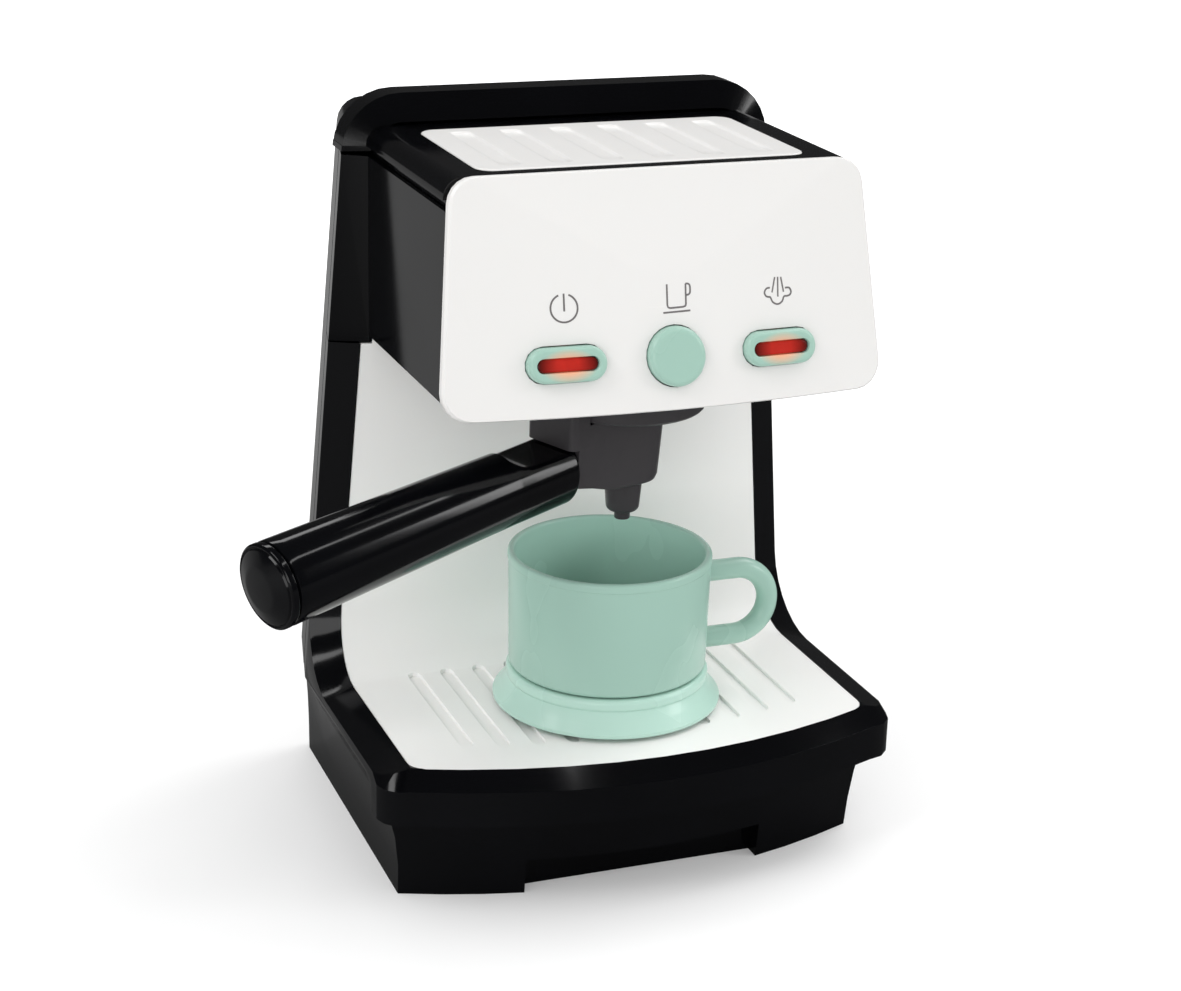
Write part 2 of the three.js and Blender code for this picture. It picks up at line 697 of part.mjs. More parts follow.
// The underside, let into the skirt and flush with its bottom edge
function makeBottomCover() {
  const skirtRing = (z) => skirtOutline(0, wall + gap).map(([x, y]) => new THREE.Vector3(x, y, z));
  let part = loft([skirtRing(0), skirtRing(cover.thickness)]);
  const recess = block(
    [-base.recessHalf - wall - gap, -base.skirtFrontDepth, -overrun],
    [base.recessHalf + wall + gap, -(base.skirtFrontDepth - base.recessDepth - wall - gap), overrun],
  );
  part = part.subtract(recess);
  const opening = block(
    [-box.halfLength + box.lip, box.centreY - box.halfWidth + box.lip, -overrun],
    [box.halfLength - box.lip, box.centreY + box.halfWidth - box.lip, overrun],
  );
  part = part.subtract(opening);
  bottomScrewPlaces.forEach(([x, y]) => {
    part = part.subtract(screwClearance(x, y, 0, cover.thickness + overrun, screwSeat + gap));
  });
  return part;
}

const doorScrewY = box.centreY;
const doorScrewX = box.halfLength * door.screwShare;

// The battery box stands on the bottom cover, open towards the door
function makeBatteryBox() {
  const low = cover.thickness + gap;
  const outer = block(
    [-box.halfLength, box.centreY - box.halfWidth, low],
    [box.halfLength, box.centreY + box.halfWidth, low + box.height],
  );
  const inner = block(
    [-box.halfLength + box.wall, box.centreY - box.halfWidth + box.wall, low - overrun],
    [box.halfLength - box.wall, box.centreY + box.halfWidth - box.wall,
      low + box.height - box.wall],
  );
  const boss = moved(rod(screw.shankRadius + box.wall, door.thickness + gap, low + box.height),
    [doorScrewX, doorScrewY, 0]);
  const bore = moved(rod(pilot, 0, screw.length + gap + cover.thickness),
    [doorScrewX, doorScrewY, 0]);
  return outer.subtract(inner).add(boss).subtract(bore);
}

const batteryHeight = cover.thickness + 2 * gap + battery.radius;
const batteryShift = -(screw.shankRadius + box.wall);

function makeBattery(direction) {
  const half = battery.length / 2;
  const cell = turned([
    [0, -half],
    [battery.radius, -half],
    [battery.radius, half - battery.nubLength],
    [battery.nubRadius, half - battery.nubLength],
    [battery.nubRadius, half],
    [0, half],
  ], 16);
  return moved(cell, [0, 0, 0], [0, 90 * direction, 0]);
}

// The rear casing from behind at a depth, drawn in by an inset except at its bottom edge
function casingRing(y, depth, inset, drop) {
  const levels = [base.skirtHeight + gap, (base.skirtHeight + lipTop) / 2, lipTop];
  const half = (z) => sideHalf(depth, z) - inset;
  const up = levels.map((z, i) => [half(z), i === 0 ? z - drop : z, 0]);
  const top = casingTop - inset;
  const radius = Math.max(casing.topCornerRadius - inset, casing.leastRadius);
  const left = up.map(([a, b]) => [-a, b, 0]).toReversed();
  const outline = rounded([...up, [half(top), top, radius], [-half(top), top, radius], ...left], 5);
  return outline.map(([x, z]) => new THREE.Vector3(x, y, z));
}

// The casing's skin at an inset: straight at first, then rounded towards the back
function casingSkin(inset, drop) {
  const front = column.seatDepth + gap;
  const radius = casing.rearRadius;
  const bend = Array.from({ length: casing.rearSteps + 1 }, (_, k) => {
    const angle = ((k / casing.rearSteps) * Math.PI) / 2;
    const depth = base.rearDepth - radius * (1 - Math.sin(angle));
    const reach = (radius - inset) / radius;
    const y = base.rearDepth - inset - (base.rearDepth - depth) * reach;
    return casingRing(y, depth, inset + radius * reach * (1 - Math.cos(angle)), drop);
  });
  return loft([casingRing(front - drop, column.seatDepth, inset, drop), ...bend]);
}

// The rear casing: a deep cover behind the column, with screw wells and a slotted back
function makeRearCasing() {
  let part = casingSkin(0, 0).subtract(casingSkin(wall, overrun));
  rearScrewPlaces.forEach(([x, z]) => {
    const from = -(base.rearDepth - wall / 2);
    const floor = -(column.seatDepth + gap);
    const well = rod(casing.wellRadius, from, floor);
    const bore = rod(screw.headRadius + gap, -(base.rearDepth + overrun),
      floor - casing.wellFloor).add(rod(pilot, floor - overrun, floor + overrun));
    part = part.add(moved(well, [x, 0, z], turnForward))
      .subtract(moved(bore, [x, 0, z], turnForward));
  });
  for (let i = 0; i < casing.slotCount; i += 1) {
    const z = speakerHeight + (i - (casing.slotCount - 1) / 2) * casing.slotPitch;
    const slot = shifted(slotOutline(casing.slotLength, casing.slotWidth, 3), 0, z);
    part = part.subtract(prism("y", slot, base.rearDepth - wall - gap, base.rearDepth + overrun));
  }
  return part;
}

// The depth of the fascia's back at a height
function fasciaBack(z) {
  const front = -fascia.bottomDepth + (z - fasciaBottom) * Math.tan(tilt);
  return front + fascia.thickness / Math.cos(tilt);
}

// The head's housing: floor, cheeks and upper rails in one moulding
function makeHeadHousing() {
  const back = column.seatDepth;
  const side = (low, high, inset) => [
    [fasciaBack(low) + gap - (inset ? overrun : 0), low],
    [back + (inset ? overrun : 0), low],
    [back + (inset ? overrun : 0), high],
    [fasciaBack(high) + gap - (inset ? overrun : 0), high],
  ];
  const shell = prism("x", side(floorHeight, cheekTop, 0), -cheekHalf, cheekHalf);
  const hollow = prism("x", side(floorHeight + head.floorThickness, cheekTop + overrun, wall),
    -(cheekHalf - wall), cheekHalf - wall);
  const rail = (z, level, inset) => {
    const innerEdge = cheekHalf - wall / 2;
    const outerFront = sideHalf(railBack, level) - inset;
    const outerBack = sideHalf(back, level) - inset;
    return [
      [innerEdge - (inset ? overrun : 0), back + (inset ? overrun : 0)],
      [innerEdge - (inset ? overrun : 0), column.frontDepth + inset],
      [cheekHalf, column.frontDepth + inset],
      [outerFront, railBack + inset],
      [outerBack, back + (inset ? overrun : 0)],
    ].map(([x, y]) => new THREE.Vector3(x, y, z));
  };
  const outerRail = loft([rail(railBottom, railBottom, 0), rail(cheekTop, cheekTop, 0)]);
  const innerRail = loft([
    rail(railBottom - overrun, railBottom, wall),
    rail(cheekTop + overrun, cheekTop, wall),
  ]);
  const railShell = outerRail.subtract(innerRail);
  let part = shell.subtract(hollow).add(railShell).add(mirrored(railShell));
  const neck = rod(group.boreRadius, floorHeight - overrun, floorHeight + overrun, 28);
  part = part.subtract(moved(neck, [0, -group.frontDepth, 0]));
  collarScrewPlaces.forEach(([x, y]) => {
    part = part.subtract(moved(rod(pilot, floorHeight - overrun, floorHeight + overrun), [x, y, 0]));
  });
  rearScrewPlaces.filter(([, z]) => z > seamHeight).forEach(([x, z]) => {
    const cheek = Math.sign(x) * cheekHalf;
    const web = block(
      [Math.min(x, cheek), railBack, z - wall / 2],
      [Math.max(x, cheek), column.seatDepth - gap, z + wall / 2],
    );
    part = part.add(web).add(rearPost(x, z, railBack)).subtract(rearBore(x, z));
  });
  return part;
}

const collarScrewPlaces = [-1, 1].map((side) => {
  return [side * group.collarRadius * group.screwRadiusShare, -group.frontDepth];
});

// The top cover: the flat top of the head, and the arch that frames the column
function makeTopCover() {
  const side = (low, high, front) => [
    [front + fasciaBack(low), low],
    [railBack, low],
    [railBack, high],
    [front + fasciaBack(high), high],
  ];
  const half = cheekHalf;
  const shell = prism("x", side(coverBottom, headTop, head.frontGap), -half, half);
  const hollow = prism("x", side(coverBottom - overrun, headTop - wall, head.frontGap + wall),
    -(half - wall), half - wall);
  const lipOut = half - head.lipDepth - gap;
  const lip = prism("x", side(cheekTop - wall, headTop - wall / 2, head.frontGap + head.lipDepth),
    -(half - wall - gap), half - wall - gap);
  const lipHollow = prism("x", side(cheekTop - overrun, headTop - wall, head.frontGap + 2 * wall),
    -(half - 2 * wall), half - 2 * wall);
  const step = prism("x", side(cheekTop + gap, coverBottom + wall / 2, head.frontGap + head.lipDepth),
    -lipOut, lipOut);
  const shoulders = (inset) => prism("y", rounded([
    [-half + inset, 0, 0],
    [half - inset, 0, 0],
    [half - inset, headTop - inset, head.shoulderRadius - inset],
    [-half + inset, headTop - inset, head.shoulderRadius - inset],
  ], 6), -base.rearDepth - overrun, base.rearDepth);
  const rounds = shell.intersect(shoulders(0)).subtract(hollow.intersect(shoulders(wall)));
  let part = rounds.add(lip.add(step).intersect(shoulders(wall / 2)).subtract(lipHollow))
    .add(archBand());
  const seat = grilleOutline(gap);
  const window = grilleOutline(-grille.lap);
  const seatFloor = headTop + grille.rise - grille.thickness - gap;
  part = part.subtract(prism("z", seat, seatFloor, headTop + overrun));
  return part.subtract(prism("z", window, headTop - 2 * wall, headTop + overrun));
}

// The arch as a channel that runs up one side, over the top and down the other
function archBand() {
  const outline = rounded([
    [-sideHalf(railBack, coverBottom), coverBottom, 0],
    [-column.topHalf, archTop, arch.cornerRadius],
    [column.topHalf, archTop, arch.cornerRadius],
    [sideHalf(railBack, coverBottom), coverBottom, 0],
  ], 7);
  const inner = rounded([
    [-sideHalf(railBack, coverBottom) + arch.width, coverBottom, 0],
    [-column.topHalf + arch.width, archTop - arch.width, arch.cornerRadius - arch.width],
    [column.topHalf - arch.width, archTop - arch.width, arch.cornerRadius - arch.width],
    [sideHalf(railBack, coverBottom) - arch.width, coverBottom, 0],
  ], 7);
  const rings = outline.map(([x, z], i) => {
    const inward = new THREE.Vector3(inner[i][0] - x, 0, inner[i][1] - z);
    const share = wall / arch.width;
    const at = (part, y) => new THREE.Vector3(x, y, z).addScaledVector(inward, part);
    const rear = railBack + arch.depth;
    return [
      at(0, railBack),
      at(1, railBack - arch.faceStep),
      at(1, rear),
      at(1 - share, rear),
      at(1 - share, railBack - arch.faceStep + wall),
      at(share, railBack + wall),
      at(share, rear),
      at(0, rear),
    ];
  });
  return loft(rings);
}

function grilleOutline(grow) {
  const half = cheekHalf - grille.sideInset + grow;
  const back = grille.rearDepth + grow;
  const front = grille.rearDepth - grille.length - grow;
  const radius = grille.cornerRadius;
  return rounded([[half, back, radius], [-half, back, radius], [-half, front, radius],
    [half, front, radius]]);
}

// The white panel on top, with six shallow pads
function makeTopGrille() {
  const top = headTop + grille.rise;
  let part = prism("z", grilleOutline(0), top - grille.thickness, top);
  for (let i = 0; i < grille.padCount; i += 1) {
    const x = (i - (grille.padCount - 1) / 2) * grille.padPitch;
    const y = grille.rearDepth - grille.length / 2;
    const half = grille.length / 2 - grille.padMargin;
    const across = grille.padWidth / 2;
    const radius = grille.padWidth / 3;
    const outline = rounded([[x + across, y + half, radius], [x - across, y + half, radius],
      [x - across, y - half, radius], [x + across, y - half, radius]], 3);
    part = part.subtract(prism("z", outline, top - grille.padDepth, top + overrun));
  }
  return part;
}

// How far the fascia's face swells forward of its edge, at a place across and up its face
function fasciaBulge(across, up) {
  const share = THREE.MathUtils.clamp(up / fascia.height, 0, 1);
  const half = THREE.MathUtils.lerp(fasciaBottomHalf, fasciaTopHalf, share);
  const depth = THREE.MathUtils.lerp(fascia.bottomBulge, fascia.topBulge, share);
  return depth * Math.max(1 - (across / half) ** 2, 0);
}

function fasciaOutline() {
  const steps = 8;
  const sag = Array.from({ length: steps + 1 }, (_, k) => {
    const share = (2 * k) / steps - 1;
    const corner = k === 0 || k === steps;
    return [share * fasciaBottomHalf, -fascia.bottomSag * (1 - share ** 2),
      corner ? fascia.cornerRadius : 0];
  });
  return rounded([...sag, [fasciaTopHalf, fascia.height, fascia.cornerRadius],
    [-fasciaTopHalf, fascia.height, fascia.cornerRadius]], 5);
}

// The fascia: rings that close in on the middle of its face, over a flat back
function makeFascia() {
  const outline = fasciaOutline();
  const centre = [0, fascia.height / 2];
  const ring = (share, y) => outline.map(([a, b]) => {
    const across = THREE.MathUtils.lerp(centre[0], a, share);
    const up = THREE.MathUtils.lerp(centre[1], b, share);
    return new THREE.Vector3(across, y(across, up), up);
  });
  const front = (inset) => (across, up) => -fascia.thickness - fasciaBulge(across, up) + inset;
  const edge = fascia.thickness / 4;
  const edgeShare = 1 - edge / fascia.height;
  let part = loft([
    ring(1, () => 0),
    ring(1, front(edge)),
    ring(edgeShare, front(0)),
    ...fascia.ringShares.map((share) => ring(share, front(0))),
  ]);
  const pocket = loft([
    ring(fascia.pocketShare, () => overrun),
    ...[fascia.pocketShare, ...fascia.ringShares].map((share) => {
      return ring(share, front(fascia.thickness));
    }),
  ]).intersect(block([-fasciaBottomHalf, -fascia.bottomBulge, fascia.pocketBottom],
    [fasciaBottomHalf, overrun, fascia.height]));
  part = part.subtract(pocket);
  buttons.forEach(({ across, outline: shape }) => {
    const hole = shifted(shape(button.clearance), across, button.height);
    part = part.subtract(prism("y", hole, -fascia.thickness - fascia.bottomBulge - overrun, overrun));
  });
  boardScrewPlaces.forEach(([across, up]) => {
    const boss = moved(rod(boardPost.radius, -(board.stand - gap), 0), [across, 0, up], turnForward);
    const bore = moved(rod(pilot, -board.stand, -(board.stand - screw.length)),
      [across, 0, up], turnForward);
    part = part.add(boss).subtract(bore);
  });
  return part;
}

const boardScrewPlaces = [-1, 1].map((side) => [side * boardPost.across, boardPost.up]);

function ovalOutline(grow) {
  return slotOutline(button.ovalLength + 2 * grow, button.ovalWidth + 2 * grow, 7);
}

function roundOutline(grow) {
  return slotOutline(button.roundDiameter + 2 * grow, button.roundDiameter + 2 * grow, 12);
}

const buttons = [
  { name: "left", across: -button.spacing, outline: ovalOutline, window: true },
  { name: "centre", across: 0, outline: roundOutline, window: false },
  { name: "right", across: button.spacing, outline: ovalOutline, window: true },
];

// An outline about a button's middle, raised from the fascia's bowed face
function faceRing(outline, across, raise) {
  return outline.map(([a, b]) => {
    const up = b + button.height;
    return new THREE.Vector3(a + across, -fascia.thickness - fasciaBulge(a + across, up) - raise, up);
  });
}

const stemDrop = (button.ovalWidth + button.flangeLip) / 2 - button.stemRadius;

// A button cap with a flange behind the fascia and a stem that presses its switch
function makeButton({ across, outline, window }) {
  const edge = button.edge * button.edgeShare;
  const back = outline(0).map(([a, b]) => new THREE.Vector3(a + across, gap, b + button.height));
  let part = loft([
    back,
    faceRing(outline(0), across, button.proud - button.edge),
    faceRing(outline(-edge), across, button.proud - edge),
    faceRing(outline(-button.edge), across, button.proud),
  ]);
  const flange = shifted(outline(button.flangeLip), across, button.height);
  part = part.add(prism("y", flange, gap, gap + button.flangeThickness));
  const up = button.height - (window ? stemDrop : 0);
  const stem = rod(button.stemRadius, -(gap + button.flangeThickness + button.stemLength), -gap);
  part = part.add(moved(stem, [across, 0, up], turnForward));
  if (window) {
    const hole = shifted(slotOutline(button.windowLength + 2 * gap, button.windowWidth + 2 * gap, 5),
      across, button.height);
    const front = -fascia.thickness - fascia.bottomBulge - button.proud - overrun;
    part = part.subtract(prism("y", hole, front, gap + button.flangeThickness + overrun));
  }
  return part;
}

function makeWindow({ across }) {
  const outline = slotOutline(button.windowLength, button.windowWidth, 5);
  const back = outline.map(([a, b]) => {
    return new THREE.Vector3(a + across, gap + button.flangeThickness, b + button.height);
  });
  return loft([back, faceRing(outline, across, button.proud - button.windowRecess)]);
}

const plungerFrom = gap + button.flangeThickness + button.stemLength + gap;

function makePlunger({ across, window }) {
  const up = button.height - (window ? stemDrop : 0);
  const reach = board.stand - tact.height + tact.plungerReach;
  return moved(rod(tact.plungerRadius, -reach, -plungerFrom), [across, 0, up], turnForward);
}

function makeSwitch({ across, window }) {
  const up = button.height - (window ? stemDrop : 0);
  const body = block(
    [across - tact.half, board.stand - tact.height, up - tact.half],
    [across + tact.half, board.stand - gap, up + tact.half],
  );
  const bore = rod(tact.boreRadius, -(board.stand - tact.height + tact.boreDepth), 0);
  return body.subtract(moved(bore, [across, 0, up], turnForward));
}

const boardHalf = cheekHalf - board.sideInset;

function makeBoard() {
  let part = block(
    [-boardHalf, board.stand, board.bottom],
    [boardHalf, board.stand + board.thickness, board.top],
  );
  boardScrewPlaces.forEach(([across, up]) => {
    const bore = rod(pilot, -(board.stand + overrun), 0);
    part = part.subtract(moved(bore, [across, 0, up], turnForward));
  });
  return part;
}

function makeLed({ across }) {
  const body = turned([
    [0, 0],
    [led.radius, 0],
    [led.radius, led.length - led.radius],
    [led.radius * led.domeShare, led.length - led.radius / 2],
    [0, led.length],
  ], 12);
  return moved(body, [across, board.stand - gap, button.height], turnForward);
}

// Places along the turning axis, from the collar's underside
const collarBottom = floorHeight - gap - group.collarHeight;

// A wedge between two turns about the axis, measured from straight ahead
function sector(radius, fromDegrees, toDegrees, low, high) {
  const steps = 6;
  const arc = Array.from({ length: steps + 1 }, (_, k) => {
    const angle = THREE.MathUtils.degToRad(THREE.MathUtils.lerp(fromDegrees, toDegrees, k / steps));
    return [radius * Math.sin(angle), -radius * Math.cos(angle)];
  });
  return prism("z", [[0, 0], ...arc], low, high);
}

// The collar under the head, with a ledge that carries the filter holder's lugs
function makeCollar() {
  const top = floorHeight - gap;
  const edge = group.edge;
  let part = turned([
    [group.ledgeRadius, collarBottom],
    [group.collarRadius - edge, collarBottom],
    [group.collarRadius, collarBottom + edge],
    [group.collarRadius, top],
    [group.boreRadius, top],
    [group.boreRadius, collarBottom + group.ledgeHeight],
    [group.ledgeRadius, collarBottom + group.ledgeHeight],
    [group.ledgeRadius, collarBottom],
  ], 40);
  const half = group.lugHalfDegrees + group.notchMargin;
  [90, -90].forEach((turn) => {
    const middle = turn - group.restDegrees - group.notchSwing;
    const notch = sector(group.boreRadius - gap, middle - half, middle + half,
      collarBottom - overrun, collarBottom + group.ledgeHeight + gap);
    part = part.subtract(notch);
  });
  collarScrewPlaces.forEach(([x]) => {
    part = part.subtract(moved(rod(pilot, collarBottom + wall, top + overrun), [x, 0, 0]));
  });
  return part;
}

// The filter holder's grey body, upright, with its arm straight ahead of the axis
function makeHolderBody() {
  const top = collarBottom - gap;
  const bottom = top - holder.height;
  const bowlOutline = (radius) => {
    const steps = 28;
    const flank = THREE.MathUtils.degToRad(holder.flankDegrees);
    const arc = Array.from({ length: steps + 1 }, (_, k) => {
      const angle = THREE.MathUtils.lerp(-flank, Math.PI + flank, k / steps);
      return [radius * Math.cos(angle), radius * Math.sin(angle)];
    });
    const half = radius * holder.waistShare;
    return [...arc, [-half, -holder.waist], [half, -holder.waist]];
  };
  const levels = [
    [bottom, holder.floorRadius],
    [bottom + holder.bottomRise / 3, holder.bottomRadius - holder.bottomEdge],
    [bottom + holder.bottomRise, holder.bottomRadius],
    [top, holder.topRadius],
  ];
  let part = prism("z", bowlOutline(levels[0][1]), levels[0][0], levels[1][0],
    bowlOutline(levels[1][1]));
  [1, 2].forEach((k) => {
    part = part.add(prism("z", bowlOutline(levels[k][1]), levels[k][0], levels[k + 1][0],
      bowlOutline(levels[k + 1][1])));
  });
  const armOutline = (reach, inset, corner) => {
    const half = THREE.MathUtils.lerp(holder.armRootHalf, holder.armHalf,
      (reach - holder.armRoot) / (holder.armReach - holder.armRoot)) - inset;
    const rootHalf = holder.armRootHalf - inset;
    return rounded([
      [rootHalf, -holder.armRoot, 0],
      [-rootHalf, -holder.armRoot, 0],
      [-half, -reach, corner],
      [half, -reach, corner],
    ], 5);
  };
  const step = collarBottom - holder.neckTop;
  const slope = (holder.armRise - holder.armRootRise) / (holder.neckReach - holder.bottomRadius);
  const drop = overrun * 2;
  const under = prism("x", [
    [0, bottom - drop],
    [0, bottom + holder.armRootRise - slope * holder.bottomRadius],
    [-(holder.neckReach + overrun), bottom + holder.armRise + slope * overrun],
    [-(holder.neckReach + overrun), bottom - drop],
  ], -holder.armReach, holder.armReach);
  const arm = prism("z", armOutline(holder.neckReach, holder.armTaper, 0), bottom, step,
    armOutline(holder.neckReach, 0, 0));
  const lug = prism("z", armOutline(holder.armReach, 0, holder.armCornerRadius), step,
    top + holder.lugRise).subtract(rod(holder.lugInner, top, top + holder.lugRise + overrun, 48));
  part = part.add(arm).subtract(under).add(lug);
  const neck = rod(group.neckRadius, top - gap, collarBottom + group.ledgeHeight + gap, 32);
  const lugLow = collarBottom + group.ledgeHeight + gap;
  const lugs = [90, -90].map((turn) => sector(group.lugRadius, turn - group.lugHalfDegrees,
    turn + group.lugHalfDegrees, lugLow - gap, lugLow + group.lugHeight));
  const crown = rod(group.neckRadius, lugLow - gap, lugLow + group.lugHeight, 32);
  const lugsAbove = lugs[0].add(lugs[1]).subtract(rod(overrun, 0, lugLow))
    .subtract(block([-group.lugRadius, -group.lugRadius, lugLow - overrun],
      [group.lugRadius, group.lugRadius, lugLow]));
  part = part.add(neck).add(crown).add(lugsAbove);
  part = part.subtract(rod(holder.bowlRadius, bottom + holder.bowlFloor, lugLow + overrun, 32));
  return part.subtract(handleScrewBore());
}

// A solid built along the handle's own line, put where the handle is
function alongGrip(part) {
  return moved(part, [0, 0, collarBottom - grip.axisDrop], [grip.tiltDegrees, 0, 0]);
}

function handleScrewBore() {
  return alongGrip(moved(rod(pilot, 0, holder.armReach + overrun), [0, 0, 0], turnForward));
}

// A ring across the handle: round, with a flattened top
function gripRing(distance, radius, flat) {
  return Array.from({ length: grip.sides }, (_, k) => {
    const angle = (2 * Math.PI * k) / grip.sides;
    const up = Math.min(radius * Math.sin(angle), radius - flat);
    return new THREE.Vector3(radius * Math.cos(angle), -distance, up);
  });
}

function makeHandle() {
  const start = holder.neckReach - overrun;
  const flatTop = grip.neckFlat;
  const body = alongGrip(loft([
    gripRing(start, grip.neckRadius, flatTop),
    gripRing(grip.neckEnd - flatTop, grip.neckRadius, flatTop),
    gripRing(grip.neckEnd, grip.startRadius, gap),
    gripRing(grip.length, grip.endRadius, gap),
  ]));
  const trim = block(
    [-grip.endRadius * 2, -(holder.neckReach + gap), 0],
    [grip.endRadius * 2, overrun, floorHeight],
  );
  const bore = alongGrip(moved(rod(pilot, start, start + gripScrew.length + gap), [0, 0, 0],
    turnForward));
  return body.subtract(trim).subtract(bore);
}

// The end cap: a rim, a fine groove and a low dome
function makeHandleCap() {
  const start = grip.length + gap;
  const rim = grip.endRadius;
  const profile = [
    [0, start],
    [rim, start],
    [rim, start + gripCap.rim],
    [rim - gripCap.groove, start + gripCap.rim + gripCap.groove],
    [rim * gripCap.insetShare, start + gripCap.rim + gripCap.groove],
    [rim * gripCap.domeShare, start + gripCap.rim + gripCap.dome * gripCap.domeRiseShare],
    [0, start + gripCap.rim + gripCap.dome],
  ];
  return alongGrip(moved(turned(profile, grip.sides), [0, 0, 0], turnForward));
}

function makeHandleScrew() {
  const seat = holder.bowlRadius - gap;
  const shaft = moved(makeScrew(gripScrew.length), [0, -seat + screw.headHeight, 0], turnBack);
  return alongGrip(shaft);
}

function makeSpout() {
  const top = collarBottom - gap - holder.height - gap;
  const shoulder = top - spout.height;
  const tip = shoulder - spout.tipLength;
  return turned([
    [0, top],
    [spout.topRadius, top],
    [spout.bottomRadius, shoulder + spout.round],
    [spout.bottomRadius - spout.round, shoulder],
    [spout.tipRadius, shoulder],
    [spout.tipRadius, tip],
    [spout.boreRadius, tip],
    [spout.boreRadius, tip + spout.boreDepth],
    [0, tip + spout.boreDepth],
  ], 20);
}

const saucerBottom = panelFloor + gap;
const cupBottom = saucerBottom + saucer.height + gap;

// The saucer: a round bead that carries the cup, over a skirt that flares out to the rim
function makeSaucer() {
  const high = saucerBottom + saucer.height;
  const crease = { radius: saucer.beadRadius - saucer.creaseDepth, z: high - saucer.beadHeight };
  const rimBottom = saucerBottom + saucer.rimLift;
  const rimTop = rimBottom + saucer.rimThickness;
  const steps = 5;
  const flare = Array.from({ length: steps + 1 }, (_, k) => {
    const share = k / steps;
    return [THREE.MathUtils.lerp(crease.radius, saucer.radius, share),
      THREE.MathUtils.lerp(crease.z, rimTop, share) - saucer.sag * share * (1 - share)];
  });
  const foot = saucer.radius - saucer.footInset;
  const underHeight = rimTop + (crease.z - rimTop) * (saucer.radius - foot - saucer.skirtInset)
    / (saucer.radius - crease.radius);
  return turned([
    [0, high - saucer.seatDrop],
    [saucer.seatRadius, high - saucer.seatDrop],
    [saucer.seatRadius, high],
    [saucer.beadRadius - saucer.beadEdge, high],
    [saucer.beadRadius, high - saucer.beadEdge],
    [saucer.beadRadius, crease.z + saucer.creaseDepth],
    ...flare,
    [saucer.radius, rimBottom],
    [saucer.radius - saucer.skirtInset, rimBottom],
    [foot, underHeight],
    [foot, saucerBottom],
    [foot - saucer.footWidth, saucerBottom],
    [crease.radius - saucer.wall, crease.z],
    [saucer.seatRadius, high - saucer.seatDrop - saucer.wall],
    [0, high - saucer.seatDrop - saucer.wall],
  ], 48);
}

// The cup, open at the top, with a round loop handle on its right
function makeCup() {
  const top = cupBottom + cup.height;
  const outerAt = (z) => THREE.MathUtils.lerp(cup.bottomRadius, cup.rimRadius,
    (z - cupBottom) / cup.height);
  const shell = turned([
    [0, cupBottom + cup.footDepth],
    [cup.footRadius, cupBottom + cup.footDepth],
    [cup.footRadius, cupBottom],
    [cup.bottomRadius - cup.edge, cupBottom],
    [cup.bottomRadius - cup.edge * cup.edgeShare, cupBottom + cup.edge * cup.edgeShare],
    [outerAt(cupBottom + cup.edge), cupBottom + cup.edge],
    [outerAt(top - cup.lipHeight) - cup.lipStep, top - cup.lipHeight],
    [cup.rimRadius, top - cup.lipHeight + cup.lipStep],
    [cup.rimRadius, top - cup.rimEdge],
    [cup.rimRadius - cup.rimEdge * cup.edgeShare, top - cup.rimEdge * cup.edgeShare],
    [cup.rimRadius - cup.rimEdge, top],
    [0, top],
  ], 40);
  const hollow = turned([
    [0, cupBottom + cup.footDepth + cup.wall],
    [cup.bottomRadius - cup.innerEdge - cup.wall, cupBottom + cup.footDepth + cup.wall],
    [cup.bottomRadius - cup.innerEdge * cup.edgeShare - cup.wall,
      cupBottom + cup.footDepth + cup.wall + cup.innerEdge * cup.edgeShare],
    [cup.bottomRadius - cup.wall, cupBottom + cup.footDepth + cup.wall + cup.innerEdge],
    [cup.rimRadius - cup.wall, top],
    [cup.rimRadius - cup.wall, top + overrun],
    [0, top + overrun],
  ], 40);
  const middle = cupBottom + cup.height * loop.centreShare;
  const ringAt = (x, z, angle) => Array.from({ length: loop.sides }, (_, k) => {
    const turn = (2 * Math.PI * k) / loop.sides;
    const out = loop.thickness * Math.cos(turn);
    return new THREE.Vector3(x + out * Math.cos(angle), loop.thickness * Math.sin(turn),
      z + out * Math.sin(angle));
  });
  const start = cup.bottomRadius - cup.wall * 2;
  const bend = Array.from({ length: loop.steps + 1 }, (_, k) => {
    const angle = Math.PI * (0.5 - k / loop.steps);
    return ringAt(loop.reach + loop.radius * Math.cos(angle), middle + loop.radius * Math.sin(angle),
      angle);
  });
  const handle = loft([
    ringAt(start, middle + loop.radius, Math.PI / 2),
    ...bend,
    ringAt(start, middle - loop.radius, -Math.PI / 2),
  ]);
  return shell.add(handle).subtract(hollow);
}

function makeSpeaker() {
  const body = turned([
    [0, 0],
    [speaker.radius, 0],
    [speaker.radius, speaker.rimHeight],
    [speaker.magnetRadius, speaker.rimHeight + speaker.coneHeight],
    [speaker.magnetRadius, speaker.height],
    [0, speaker.height],
  ], 24);
  return moved(body, [0, base.rearDepth - wall - gap, speakerHeight], turnForward);
}

// A pair of wires in one sheath, along a route held inside the case
function makeLead(points) {
  const route = new THREE.CatmullRomCurve3(points.map((point) => new THREE.Vector3(...point)));
  const sides = Array.from({ length: lead.sides }, (_, k) => {
    const angle = (2 * Math.PI * k) / lead.sides;
    return new THREE.Vector2(lead.radius * Math.cos(angle), lead.radius * Math.sin(angle));
  });
  const shape = new THREE.Shape(sides);
  return solid(new THREE.ExtrudeGeometry(shape, {
    steps: lead.steps,
    extrudePath: route,
    bevelEnabled: false,
  }));
}

